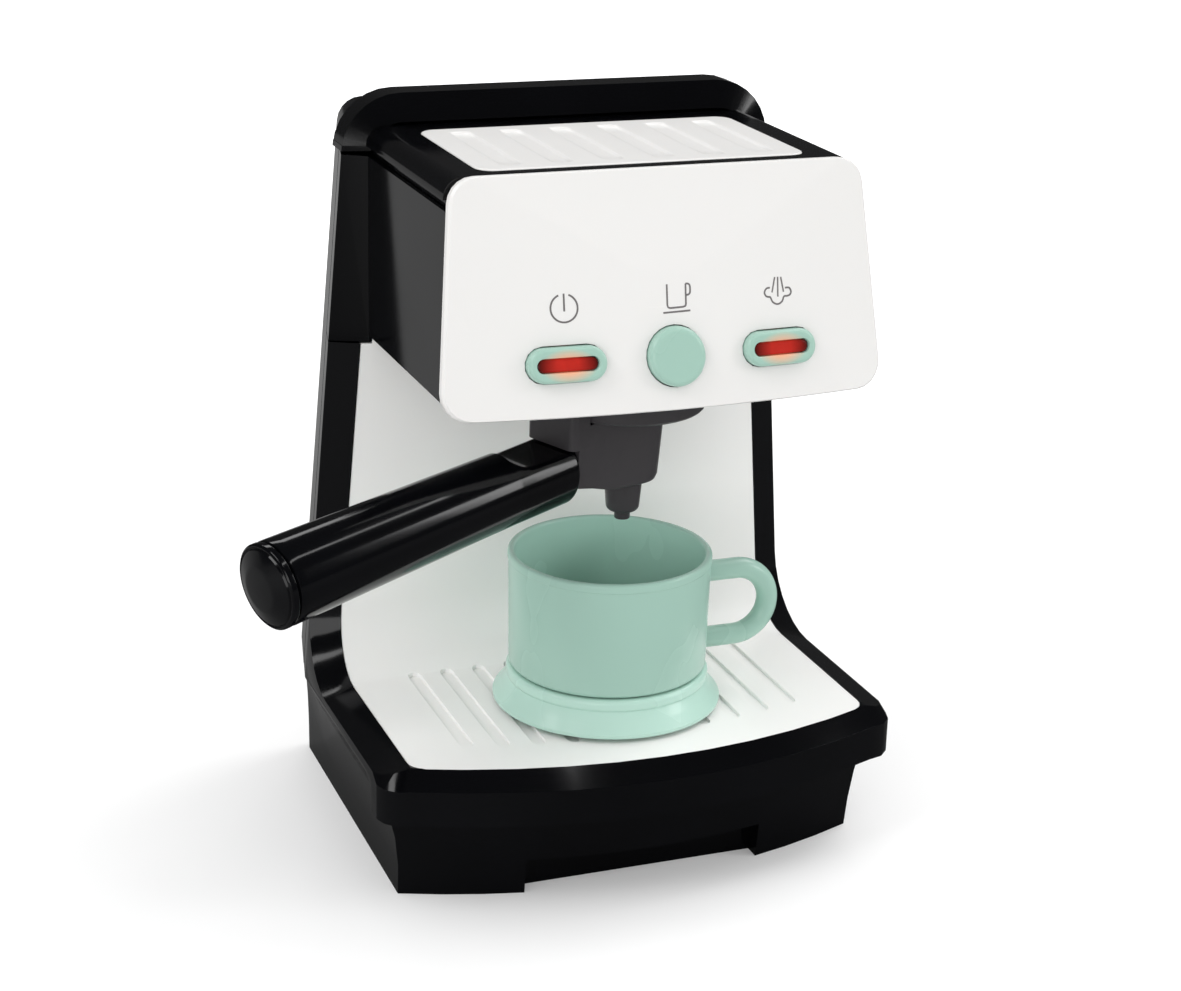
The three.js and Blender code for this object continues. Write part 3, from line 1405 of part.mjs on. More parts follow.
// The case
addPiece("lower_frame", makeLowerFrame(), "black");
addPiece("tray_panel", makeTrayPanel(), "white");
addPiece("bottom_cover", makeBottomCover(), "black");
addPiece("battery_box", makeBatteryBox(), "black");
[-1, 1].forEach((side, i) => {
  const at = [batteryShift, box.centreY + (side * battery.pitch) / 2, batteryHeight];
  addPiece(`battery_${i + 1}`, moved(makeBattery(side), at), "cell");
});
[["left", -1], ["right", 1]].forEach(([name, side]) => {
  const x = batteryShift + side * (battery.length / 2 + gap + contact.thickness / 2);
  addPiece(`contact_plate_${name}`, block(
    [x - contact.thickness / 2, box.centreY - contact.width / 2, batteryHeight - contact.height / 2],
    [x + contact.thickness / 2, box.centreY + contact.width / 2, batteryHeight + contact.height / 2],
  ), "steel");
});
const doorPlate = block(
  [-box.halfLength + box.lip + gap, box.centreY - box.halfWidth + box.lip + gap, 0],
  [box.halfLength - box.lip - gap, box.centreY + box.halfWidth - box.lip - gap, door.thickness],
);
addPiece("battery_door", doorPlate.subtract(screwClearance(doorScrewX, doorScrewY, 0,
  door.thickness + overrun, screwSeat + gap)), "black");
addPiece("battery_door_screw", moved(makeScrew(), [doorScrewX, doorScrewY, screwSeat],
  upsideDown), "steel");
bottomScrewPlaces.forEach(([x, y], i) => {
  const at = [x, y, screwSeat];
  addPiece(`bottom_screw_${i + 1}`, moved(makeScrew(), at, upsideDown), "steel");
});
addPiece("rear_casing", makeRearCasing(), "black");
rearScrewPlaces.forEach(([x, z], i) => {
  const at = [x, column.seatDepth + gap + casing.wellFloor + gap, z];
  addPiece(`rear_screw_${i + 1}`, moved(makeScrew(), at, turnBack), "steel");
});
addPiece("speaker", makeSpeaker(), "dark");
addPiece("head_housing", makeHeadHousing(), "black");
addPiece("top_cover", makeTopCover(), "black");
addPiece("top_grille", makeTopGrille(), "white");

// The fascia, its buttons and its circuit board lean back together
const leaning = new THREE.Group();
leaning.position.set(0, -fascia.bottomDepth + fascia.thickness * Math.cos(tilt),
  fasciaBottom - fascia.thickness * Math.sin(tilt));
leaning.rotation.x = -tilt;
model.add(leaning);
addPiece("fascia", makeFascia(), "white", leaning);
addPiece("circuit_board", makeBoard(), "green", leaning);
boardScrewPlaces.forEach(([across, up], i) => {
  const at = [across, board.stand + board.thickness + gap, up];
  addPiece(`board_screw_${i + 1}`, moved(makeScrew(screw.shortLength), at, turnBack), "steel",
    leaning);
});
buttons.forEach((spec) => {
  addPiece(`button_${spec.name}`, makeButton(spec), "mint", leaning);
  addPiece(`plunger_${spec.name}`, makePlunger(spec), "dark", leaning);
  addPiece(`switch_${spec.name}`, makeSwitch(spec), "dark", leaning);
  if (spec.window) {
    addPiece(`window_${spec.name}`, makeWindow(spec), "red", leaning);
    addPiece(`led_${spec.name}`, makeLed(spec), "clear", leaning);
  }
});

// The collar, and the filter holder that turns in it
const turning = new THREE.Group();
turning.position.set(0, -group.frontDepth, 0);
model.add(turning);
addPiece("group_collar", makeCollar(), "grey", turning);
collarScrewPlaces.forEach(([x], i) => {
  addPiece(`collar_screw_${i + 1}`, moved(makeScrew(screw.shortLength),
    [x, 0, floorHeight + head.floorThickness + gap]), "steel", turning);
});
const holding = new THREE.Group();
holding.rotation.z = -THREE.MathUtils.degToRad(group.restDegrees);
turning.add(holding);
addPiece("filter_holder", makeHolderBody(), "grey", holding);
addPiece("spout", makeSpout(), "grey", holding);
addPiece("handle", makeHandle(), "black", holding);
addPiece("handle_cap", makeHandleCap(), "black", holding);
addPiece("handle_screw", makeHandleScrew(), "steel", holding);

// The cup on its saucer
const serving = new THREE.Group();
serving.position.set(cup.across, -cup.frontDepth, 0);
model.add(serving);
addPiece("saucer", makeSaucer(), "mint", serving);
addPiece("cup", makeCup(), "mint", serving);

// The wires inside the case
const boardBack = fasciaBack(floorHeight) + board.stand + board.thickness;
addPiece("battery_leads", makeLead([
  [-box.halfLength / 2, box.centreY + box.halfWidth - box.wall * 2,
    cover.thickness + gap + box.height + gap + lead.radius],
  [-box.halfLength / 2, column.seatDepth + box.wall, trayHeight],
  [-box.halfLength / 2, column.seatDepth + box.wall, seamHeight],
  [-box.halfLength / 2, column.seatDepth - wall, floorHeight + box.height],
  [-box.halfLength / 2, (column.seatDepth + boardBack) / 2, floorHeight + box.height],
  [-box.halfLength / 2, boardBack + box.wall * 3, floorHeight + box.height],
]), "red");
addPiece("speaker_leads", makeLead([
  [speaker.magnetRadius / 2, base.rearDepth - wall - gap - speaker.height - gap,
    speakerHeight],
  [speaker.magnetRadius, column.seatDepth, speakerHeight + lead.radius],
  [speaker.magnetRadius, 0, speakerHeight],
  [speaker.magnetRadius, boardBack + box.wall * 3, floorHeight + box.height],
]), "dark");

export default model;
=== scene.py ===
# The looks of a toy coffee maker: a black case with a white tray, back panel and fascia,
# mint buttons, cup and saucer, and a dark grey filter holder with a black handle.
# Blender 4.5. Sizes are in millimetres until a mesh is made, and then in metres.

import json
import math

import bmesh
import bpy
from mathutils import Matrix, Vector
from mathutils.bvhtree import BVHTree

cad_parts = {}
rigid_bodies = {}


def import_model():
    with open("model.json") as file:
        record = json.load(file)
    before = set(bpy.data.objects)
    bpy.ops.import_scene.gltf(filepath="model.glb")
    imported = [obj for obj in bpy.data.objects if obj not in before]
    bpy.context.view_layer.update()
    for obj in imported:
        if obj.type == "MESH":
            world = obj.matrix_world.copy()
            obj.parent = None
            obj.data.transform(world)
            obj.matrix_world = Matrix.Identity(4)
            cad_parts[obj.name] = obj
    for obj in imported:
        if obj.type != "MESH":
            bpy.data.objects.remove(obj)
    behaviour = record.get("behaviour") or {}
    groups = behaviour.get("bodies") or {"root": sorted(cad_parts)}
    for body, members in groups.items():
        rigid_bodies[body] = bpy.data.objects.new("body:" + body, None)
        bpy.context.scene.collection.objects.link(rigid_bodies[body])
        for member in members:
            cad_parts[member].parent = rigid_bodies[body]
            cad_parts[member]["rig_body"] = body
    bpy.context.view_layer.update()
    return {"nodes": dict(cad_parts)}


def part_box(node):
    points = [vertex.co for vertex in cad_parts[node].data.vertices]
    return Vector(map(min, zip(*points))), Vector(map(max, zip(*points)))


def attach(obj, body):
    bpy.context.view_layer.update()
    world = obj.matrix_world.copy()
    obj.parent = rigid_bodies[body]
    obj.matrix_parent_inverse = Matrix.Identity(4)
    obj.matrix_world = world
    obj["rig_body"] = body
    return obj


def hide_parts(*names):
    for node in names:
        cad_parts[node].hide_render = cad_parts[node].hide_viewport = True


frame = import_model()
nodes = frame["nodes"]

MM = 0.001

# Places that repeat the CAD's own sizes
COLLAR_BOTTOM = 164.1
HOLDER_DROP = 26.2
FASCIA_TILT = math.radians(9.8)
FASCIA_THICKNESS = 3.2
FASCIA_HEIGHT = 76.7
FASCIA_EDGE = (76.2, 174.8)
FASCIA_HALF = (77.4, 70.8)
FASCIA_BULGE = (8.4, 1.4)
BUTTON_UP = 16.6
BUTTON_ACROSS = 37
BUTTON_RISE = 3.4
HOLDER_CENTRE = (0, -39)
HOLDER_TURN = math.radians(-68)
CUP_CENTRE = (-0.8, -31)
CUP_BOTTOM = 66.5
CUP_TOP = 108.7
SAUCER_BOTTOM = 52.8
GRIP_TILT = math.radians(6.6)

MINT = (0.345, 0.535, 0.455)

# Leaning with the fascia, turned with the filter holder as it rests, along the handle inside
# that, and from a turned piece's height to the handle's length
leaning = Matrix.Translation(Vector((
    0,
    -FASCIA_EDGE[0] + FASCIA_THICKNESS * math.cos(FASCIA_TILT),
    FASCIA_EDGE[1] - FASCIA_THICKNESS * math.sin(FASCIA_TILT),
))) @ Matrix.Rotation(-FASCIA_TILT, 4, "X")
holding = (Matrix.Translation(Vector((*HOLDER_CENTRE, 0)))
    @ Matrix.Rotation(HOLDER_TURN, 4, "Z"))
along_grip = (holding @ Matrix.Translation(Vector((0, 0, COLLAR_BOTTOM - 12.5)))
    @ Matrix.Rotation(GRIP_TILT, 4, "X"))
forward = Matrix.Rotation(math.radians(90), 4, "X")


# Materials: each colour drifts a little, and the gloss and the surface vary as moulded plastic does

def link_nodes(tree, *pairs):
    for source, target in pairs:
        tree.links.new(source, target)


def calculation(tree, operation, first, second=None):
    """One step of arithmetic, each value a number or a socket."""
    node = tree.nodes.new("ShaderNodeMath")
    node.operation = operation
    for socket, value in zip(node.inputs, (first, second)):
        if value is None:
            continue
        if isinstance(value, (int, float)):
            socket.default_value = value
        else:
            tree.links.new(value, socket)
    return node.outputs["Value"]


def vector_calculation(tree, operation, vector, by=None):
    """A vector's LENGTH, or its MULTIPLY or DOT_PRODUCT by numbers."""
    node = tree.nodes.new("ShaderNodeVectorMath")
    node.operation = operation
    tree.links.new(vector, node.inputs[0])
    if by:
        node.inputs[1].default_value = by
    return node.outputs["Vector" if operation == "MULTIPLY" else "Value"]


def mapped(tree, place, setting, value):
    """A place with the Mapping node's Location added, or stretched by its Scale."""
    mapping = tree.nodes.new("ShaderNodeMapping")
    mapping.inputs[setting].default_value = value
    tree.links.new(place, mapping.inputs["Vector"])
    return mapping.outputs["Vector"]


def shade_tree(name):
    """A material with one surface shader, and the Object coordinates to drive it."""
    material = bpy.data.materials.new(name)
    material.use_nodes = True
    tree = material.node_tree
    tree.nodes.clear()
    output = tree.nodes.new("ShaderNodeOutputMaterial")
    surface = tree.nodes.new("ShaderNodeBsdfPrincipled")
    tree.links.new(surface.outputs["BSDF"], output.inputs["Surface"])
    place = tree.nodes.new("ShaderNodeTexCoord")
    return material, tree, surface, place.outputs["Object"]


def noise(tree, place, size, detail, roughness=0.5, stretch=None):
    """Noise whose patches are about a size across, in millimetres."""
    if stretch:
        place = mapped(tree, place, "Scale", stretch)
    node = tree.nodes.new("ShaderNodeTexNoise")
    node.inputs["Scale"].default_value = 1 / (size * MM)
    node.inputs["Detail"].default_value = detail
    node.inputs["Roughness"].default_value = roughness
    tree.links.new(place, node.inputs["Vector"])
    return node.outputs["Fac"]


def spread(tree, value, low, high, spans=(0.3, 0.7)):
    """A value's span stretched from low to high, and held there outside it."""
    node = tree.nodes.new("ShaderNodeMapRange")
    node.inputs["From Min"].default_value = spans[0]
    node.inputs["From Max"].default_value = spans[1]
    node.inputs["To Min"].default_value = low
    node.inputs["To Max"].default_value = high
    tree.links.new(value, node.inputs["Value"])
    return node.outputs["Result"]


def blend(tree, factor, first, second):
    """A mix of two colours, each of them numbers or a socket."""
    node = tree.nodes.new("ShaderNodeMix")
    node.data_type = "RGBA"
    for key, colour in (("A", first), ("B", second)):
        if isinstance(colour, tuple):
            node.inputs[key].default_value = (*colour, 1)
        else:
            tree.links.new(colour, node.inputs[key])
    tree.links.new(factor, node.inputs["Factor"])
    return node.outputs["Result"]


def relief(tree, surface, heights):
    """Stacks bumps, each given as a noise and its height in millimetres."""
    normal = None
    for height, depth in heights:
        bump = tree.nodes.new("ShaderNodeBump")
        bump.inputs["Distance"].default_value = depth * MM
        tree.links.new(height, bump.inputs["Height"])
        if normal:
            tree.links.new(normal, bump.inputs["Normal"])
        normal = bump.outputs["Normal"]
    tree.links.new(normal, surface.inputs["Normal"])


def moulded(name, colour, shift, gloss, grain=0.4, grain_depth=0.003, ripple_depth=0.012,
            specular=0.5, coat=0, subsurface=0):
    """Moulded plastic: a slow drift of colour, uneven gloss, a fine grain and sink ripples."""
    material, tree, surface, place = shade_tree(name)
    drift = spread(tree, noise(tree, place, 45, 2), 0, 1)
    shifted = tuple(min(max(c * shift, 0), 1) for c in colour)
    tree.links.new(blend(tree, drift, colour, shifted), surface.inputs["Base Color"])
    smears = noise(tree, place, 26, 2, 0.4, (1, 1, 0.6))
    tree.links.new(spread(tree, smears, *gloss), surface.inputs["Roughness"])
    relief(tree, surface, [
        (noise(tree, place, 22, 1), ripple_depth),
        (noise(tree, place, grain, 2), grain_depth),
    ])
    surface.inputs["IOR"].default_value = 1.5
    surface.inputs["Specular IOR Level"].default_value = specular
    surface.inputs["Coat Weight"].default_value = coat
    surface.inputs["Coat Roughness"].default_value = 0.08
    if subsurface:
        surface.inputs["Subsurface Weight"].default_value = subsurface
        surface.inputs["Subsurface Radius"].default_value = (1, 0.9, 0.8)
        surface.inputs["Subsurface Scale"].default_value = 0.0012
    return material


def mint_plastic(name, colour=MINT):
    return moulded(name, colour, 0.985, (0.25, 0.28), ripple_depth=0.003, subsurface=0.1)


def parts_of(material):
    """A moulded material's tree, its surface and its Object coordinates."""
    tree = material.node_tree
    return (tree, tree.nodes["Principled BSDF"],
        tree.nodes["Texture Coordinate"].outputs["Object"])


def tint(tree, surface, factor, colour):
    """Lays a colour over a finish by a factor."""
    under = surface.inputs["Base Color"].links[0].from_socket
    tree.links.new(blend(tree, factor, under, colour), surface.inputs["Base Color"])


def near_window(tree, place, across, spans, reach):
    """One at the middle of a button's window, falling to nothing over an oval."""
    middle = leaning @ Vector((across, -10, BUTTON_UP))
    scaled = vector_calculation(tree, "MULTIPLY", mapped(tree, place, "Location", -middle * MM),
        (1 / (reach[0] * MM), 0, 1 / (reach[1] * MM)))
    return spread(tree, vector_calculation(tree, "LENGTH", scaled), 1, 0, spans)


def glowing_window(name, across):
    """Clear red plastic that is lit from behind at its middle."""
    material, tree, surface, place = shade_tree(name)
    near = near_window(tree, place, across, (0.35, 1), (10, 20))
    lit = calculation(tree, "MULTIPLY", near, spread(tree, noise(tree, place, 4, 2), 0.85, 1))
    link_nodes(tree,
        (blend(tree, lit, (0.05, 0.005, 0.004), (0.36, 0.018, 0.012)),
            surface.inputs["Base Color"]),
        (blend(tree, lit, (0.005, 0, 0), (0.55, 0.02, 0.012)), surface.inputs["Emission Color"]),
        (spread(tree, noise(tree, place, 6, 2), 0.16, 0.22), surface.inputs["Roughness"]),
    )
    surface.inputs["Emission Strength"].default_value = 0.3
    surface.inputs["Specular IOR Level"].default_value = 0.3
    relief(tree, surface, [(noise(tree, place, 2.5, 1), 0.008)])
    return material


def lit_cap(name, across):
    """The button's mint plastic with a warm glow round its window."""
    material = mint_plastic(name)
    tree, surface, place = parts_of(material)
    glow = near_window(tree, place, across, (0.45, 1), (9.5, 5.4))
    tint(tree, surface, calculation(tree, "MULTIPLY", glow, 0.75), (0.82, 0.36, 0.2))
    surface.inputs["Emission Color"].default_value = (1, 0.3, 0.1, 1)
    tree.links.new(calculation(tree, "MULTIPLY", glow, 0.1), surface.inputs["Emission Strength"])
    return material


def cup_mint():
    """The mint plastic with painted light: paler towards the rim on the inside, as light comes
    through the wall.
    """
    material = mint_plastic("mint_cup")
    tree, surface, place = parts_of(material)
    from_axis = mapped(tree, place, "Location", (-CUP_CENTRE[0] * MM, -CUP_CENTRE[1] * MM, 0))
    radius = vector_calculation(tree, "LENGTH",
        vector_calculation(tree, "MULTIPLY", from_axis, (1 / MM, 1 / MM, 0)))
    height = tree.nodes.new("ShaderNodeSeparateXYZ")
    tree.links.new(from_axis, height.inputs[0])
    near_rim = spread(tree, height.outputs["Z"], 0.1, 1, (0.078, 0.104))
    within = spread(tree, radius, 1, 0, (33.4, 34.4))
    tint(tree, surface, calculation(tree, "MULTIPLY", near_rim, within), (0.52, 0.8, 0.69))
    return material


def plated(name, colour, gloss):
    """Zinc plate or sheet steel: brushed one way and a little cloudy."""
    material, tree, surface, place = shade_tree(name)
    cloud = spread(tree, noise(tree, place, 5, 3), 0, 1)
    tree.links.new(blend(tree, cloud, colour, tuple(c * 0.78 for c in colour)),
        surface.inputs["Base Color"])
    surface.inputs["Metallic"].default_value = 1
    brushed = noise(tree, place, 1.2, 3, 0.6, (1, 9, 1))
    tree.links.new(spread(tree, brushed, *gloss), surface.inputs["Roughness"])
    relief(tree, surface, [(brushed, 0.004)])
    return material


def printed_board(name):
    """Green lacquer over copper tracks."""
    material, tree, surface, place = shade_tree(name)
    bricks = tree.nodes.new("ShaderNodeTexBrick")
    bricks.inputs["Scale"].default_value = 90
    bricks.inputs["Mortar Size"].default_value = 0.02
    bricks.inputs["Color1"].default_value = (0.02, 0.13, 0.045, 1)
    bricks.inputs["Color2"].default_value = (0.025, 0.16, 0.055, 1)
    bricks.inputs["Mortar"].default_value = (0.06, 0.24, 0.09, 1)
    tree.links.new(place, bricks.inputs["Vector"])
    tree.links.new(bricks.outputs["Color"], surface.inputs["Base Color"])
    tree.links.new(spread(tree, noise(tree, place, 3, 2), 0.3, 0.45), surface.inputs["Roughness"])
    relief(tree, surface, [(bricks.outputs["Fac"], 0.03)])
    return material


black_gloss = moulded("black_gloss", (0.0012, 0.0013, 0.0018), 1.5, (0.1, 0.14), ripple_depth=0.008,
    specular=0.4)
# One white plastic in three copies with painted light: the tray panel is painted lighter and the
# fascia and top panel darker, for how much light reaches each
white_finishes = {name: moulded(name + "_white", (light, light * 0.99, light * 0.972), 0.995,
    (0.28, 0.3), ripple_depth=0.003, specular=0.4, subsurface=0.1)
    for name, light in (("fascia", 0.765), ("top_grille", 0.75), ("tray_panel", 0.93))}
mint_gloss = mint_plastic("mint_gloss")
mint_cup = cup_mint()
# The saucer is the cup's plastic, painted paler for the light that falls on its upward slopes
mint_saucer = mint_plastic("mint_saucer", (0.47, 0.69, 0.6))
grey_satin = moulded("grey_satin", (0.042, 0.039, 0.042), 1.12, (0.32, 0.42), grain=0.6,
    grain_depth=0.008)
dark_matte = moulded("dark_matte", (0.017, 0.017, 0.019), 1.3, (0.5, 0.65), grain_depth=0.01)
clear_lens = moulded("clear_lens", (0.7, 0.72, 0.72), 0.95, (0.05, 0.12))
clear_lens.node_tree.nodes["Principled BSDF"].inputs["Transmission Weight"].default_value = 0.8
cell_sleeve = moulded("cell_sleeve", (0.05, 0.11, 0.2), 0.7, (0.25, 0.35), coat=0.5)
red_sheath = moulded("red_sheath", (0.42, 0.02, 0.015), 0.85, (0.4, 0.55))
black_sheath = moulded("black_sheath", (0.015, 0.015, 0.015), 1.4, (0.4, 0.55))
printed_ink = moulded("printed_ink", (0.15, 0.14, 0.14), 1.1, (0.4, 0.5))
zinc = plated("zinc", (0.52, 0.52, 0.54), (0.25, 0.42))
contact_steel = plated("contact_steel", (0.6, 0.6, 0.62), (0.22, 0.4))
board_lacquer = printed_board("board_lacquer")
window_finishes = {
    "window_left": glowing_window("red_window_left", -BUTTON_ACROSS),
    "window_right": glowing_window("red_window_right", BUTTON_ACROSS),
}
cap_finishes = {
    "left": lit_cap("mint_lit_left", -BUTTON_ACROSS),
    "right": lit_cap("mint_lit_right", BUTTON_ACROSS),
}


# Meshes

def add_object(name, mesh):
    piece = bpy.data.objects.new(name, mesh)
    bpy.context.scene.collection.objects.link(piece)
    return piece


def mesh_from(name, points, faces):
    """A mesh in metres from points in millimetres, with its faces turned outwards."""
    mesh = bpy.data.meshes.new(name)
    mesh.from_pydata([Vector(p) * MM for p in points], [], faces)
    shape = bmesh.new()
    shape.from_mesh(mesh)
    bmesh.ops.remove_doubles(shape, verts=shape.verts, dist=0.002 * MM)
    bmesh.ops.recalc_face_normals(shape, faces=shape.faces)
    shape.to_mesh(mesh)
    shape.free()
    return mesh


def smooth(mesh, degrees):
    """Shades a mesh smooth, but for edges that turn by more than an angle."""
    mesh.shade_smooth()
    mesh.set_sharp_from_angle(angle=math.radians(degrees))


def settle(piece):
    """Turns a piece with its modifiers into a plain mesh."""
    view = bpy.context.evaluated_depsgraph_get()
    view.update()
    mesh = bpy.data.meshes.new_from_object(piece.evaluated_get(view), depsgraph=view)
    piece.modifiers.clear()
    old = piece.data
    piece.data = mesh
    bpy.data.meshes.remove(old)
    mesh.name = piece.name


def fit_out(piece, body, slot, finish, *replaced):
    """Gives a piece its finish and its body, and hides the CAD nodes that it stands in for; its
    slot is not used.
    """
    piece.data.materials.clear()
    piece.data.materials.append(finish)
    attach(piece, body)
    if replaced:
        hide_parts(*replaced)


def rings_mesh(name, rings, matrix, closed=True):
    """A skin through rings of points, closed at both ends by a fan unless told otherwise."""
    count = len(rings[0])
    points = [matrix @ Vector(p) for ring in rings for p in ring]
    faces = []
    for i in range(len(rings) - 1):
        for j in range(count):
            a, b = i * count + j, i * count + (j + 1) % count
            faces.append((a, b, b + count, a + count))
    if closed:
        for start in (0, (len(rings) - 1) * count):
            middle = sum((points[start + j] for j in range(count)), Vector()) / count
            points.append(middle)
            faces += [(start + j, start + (j + 1) % count, len(points) - 1) for j in range(count)]
    return mesh_from(name, points, faces)


def rounded_copy(node, width, slot, finish, angle=32):
    """The CAD's own shape with its doubles merged and its edges rounded."""
    mesh = nodes[node].data.copy()
    shape = bmesh.new()
    shape.from_mesh(mesh)
    bmesh.ops.remove_doubles(shape, verts=shape.verts, dist=0.004 * MM)
    bmesh.ops.dissolve_degenerate(shape, edges=shape.edges, dist=0.004 * MM)
    bmesh.ops.dissolve_limit(shape, angle_limit=math.radians(0.4), verts=shape.verts,
        edges=shape.edges)
    shape.to_mesh(mesh)
    shape.free()
    piece = add_object(node + "_shell", mesh)
    mesh.shade_smooth()
    bevel = piece.modifiers.new("Rounded edges", "BEVEL")
    bevel.width = width * MM
    bevel.segments = 3
    bevel.limit_method = "ANGLE"
    bevel.angle_limit = math.radians(angle)
    bevel.use_clamp_overlap = True
    weighted = piece.modifiers.new("Even shading", "WEIGHTED_NORMAL")
    weighted.keep_sharp = True
    settle(piece)
    fit_out(piece, nodes[node]["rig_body"], slot, finish, node)


# Turned pieces, made by one Geometry Nodes tree from a profile of radius and height

def turning_tree():
    tree = bpy.data.node_groups.new("Turned piece", "GeometryNodeTree")
    face = tree.interface
    face.new_socket("Profile", in_out="INPUT", socket_type="NodeSocketGeometry")
    face.new_socket("Steps round", in_out="INPUT", socket_type="NodeSocketInt")
    face.new_socket("Finish", in_out="INPUT", socket_type="NodeSocketMaterial")
    face.new_socket("Piece", in_out="OUTPUT", socket_type="NodeSocketGeometry")
    given = tree.nodes.new("NodeGroupInput").outputs
    size = tree.nodes.new("GeometryNodeAttributeDomainSize")
    grid = tree.nodes.new("GeometryNodeMeshGrid")
    index = tree.nodes.new("GeometryNodeInputIndex").outputs["Index"]
    rounds = calculation(tree, "ADD", given["Steps round"], 1)
    count = size.outputs["Point Count"]
    ring = calculation(tree, "FLOOR", calculation(tree, "DIVIDE",
        calculation(tree, "ADD", index, 0.5), count))
    along = calculation(tree, "SUBTRACT", index, calculation(tree, "MULTIPLY", ring, count))
    angle = calculation(tree, "DIVIDE", calculation(tree, "MULTIPLY", ring, math.tau),
        given["Steps round"])
    position = tree.nodes.new("GeometryNodeInputPosition").outputs["Position"]
    sample = tree.nodes.new("GeometryNodeSampleIndex")
    sample.data_type = "FLOAT_VECTOR"
    turn = tree.nodes.new("ShaderNodeVectorRotate")
    turn.rotation_type = "Z_AXIS"
    place = tree.nodes.new("GeometryNodeSetPosition")
    merge = tree.nodes.new("GeometryNodeMergeByDistance")
    merge.inputs["Distance"].default_value = 0.002 * MM
    realize = tree.nodes.new("GeometryNodeRealizeInstances")
    finish = tree.nodes.new("GeometryNodeSetMaterial")
    result = tree.nodes.new("NodeGroupOutput").inputs
    link_nodes(tree,
        (given["Profile"], size.inputs["Geometry"]),
        (rounds, grid.inputs["Vertices X"]),
        (count, grid.inputs["Vertices Y"]),
        (given["Profile"], sample.inputs["Geometry"]),
        (position, sample.inputs["Value"]),
        (along, sample.inputs["Index"]),
        (sample.outputs["Value"], turn.inputs["Vector"]),
        (angle, turn.inputs["Angle"]),
        (grid.outputs["Mesh"], place.inputs["Geometry"]),
        (turn.outputs["Vector"], place.inputs["Position"]),
        (place.outputs["Geometry"], merge.inputs["Geometry"]),
        (merge.outputs["Geometry"], realize.inputs["Geometry"]),
        (realize.outputs["Geometry"], finish.inputs["Geometry"]),
        (given["Finish"], finish.inputs["Material"]),
        (finish.outputs["Geometry"], result["Piece"]),
    )
    return tree


def use_tree(piece, tree, **values):
    """Adds a tree to a piece, with its named inputs set by their identifiers."""
    modifier = piece.modifiers.new(tree.name, "NODES")
    modifier.node_group = tree
    for item in tree.interface.items_tree:
        key = item.name.lower().replace(" ", "_")
        if item.in_out == "INPUT" and key in values:
            modifier[item.identifier] = values[key]


def soft_profile(corners):
    """Points through corners of radius, height and rounding, in millimetres."""
    steps = 6
    points = []
    for i, (radius, height, fillet) in enumerate(corners):
        at = Vector((radius, height))
        if not fillet:
            points.append(at)
            continue
        before = (Vector(corners[i - 1][:2]) - at).normalized()
        after = (Vector(corners[i + 1][:2]) - at).normalized()
        half = math.acos(max(-1, min(1, before.dot(after)))) / 2
        centre = at + (before + after).normalized() * (fillet / math.sin(half))
        start = at + before * (fillet / math.tan(half)) - centre
        end = at + after * (fillet / math.tan(half)) - centre
        sweep = math.atan2(start.x * end.y - start.y * end.x, start.dot(end))
        for k in range(steps + 1):
            turn = sweep * k / steps
            points.append(centre + Vector((
                start.x * math.cos(turn) - start.y * math.sin(turn),
                start.x * math.sin(turn) + start.y * math.cos(turn),
            )))
    return points


turned_body = turning_tree()


def turned_piece(name, corners, matrix, slot, finish, body, replaced, rounds):
    """A piece turned from the corners of its profile, and placed by a matrix."""
    profile = soft_profile(corners)
    mesh = bpy.data.meshes.new(name)
    mesh.from_pydata([(p.x * MM, 0, p.y * MM) for p in profile], [], [])
    piece = add_object(name, mesh)
    use_tree(piece, turned_body, steps_round=rounds, finish=finish)
    settle(piece)
    shape = bmesh.new()
    shape.from_mesh(piece.data)
    for point in shape.verts:
        point.co = (matrix @ (point.co / MM)) * MM
    bmesh.ops.recalc_face_normals(shape, faces=shape.faces)
    shape.to_mesh(piece.data)
    shape.free()
    smooth(piece.data, 40)
    fit_out(piece, body, slot, finish, replaced)


# Screws, made by one Geometry Nodes tree at points that face the way the heads do

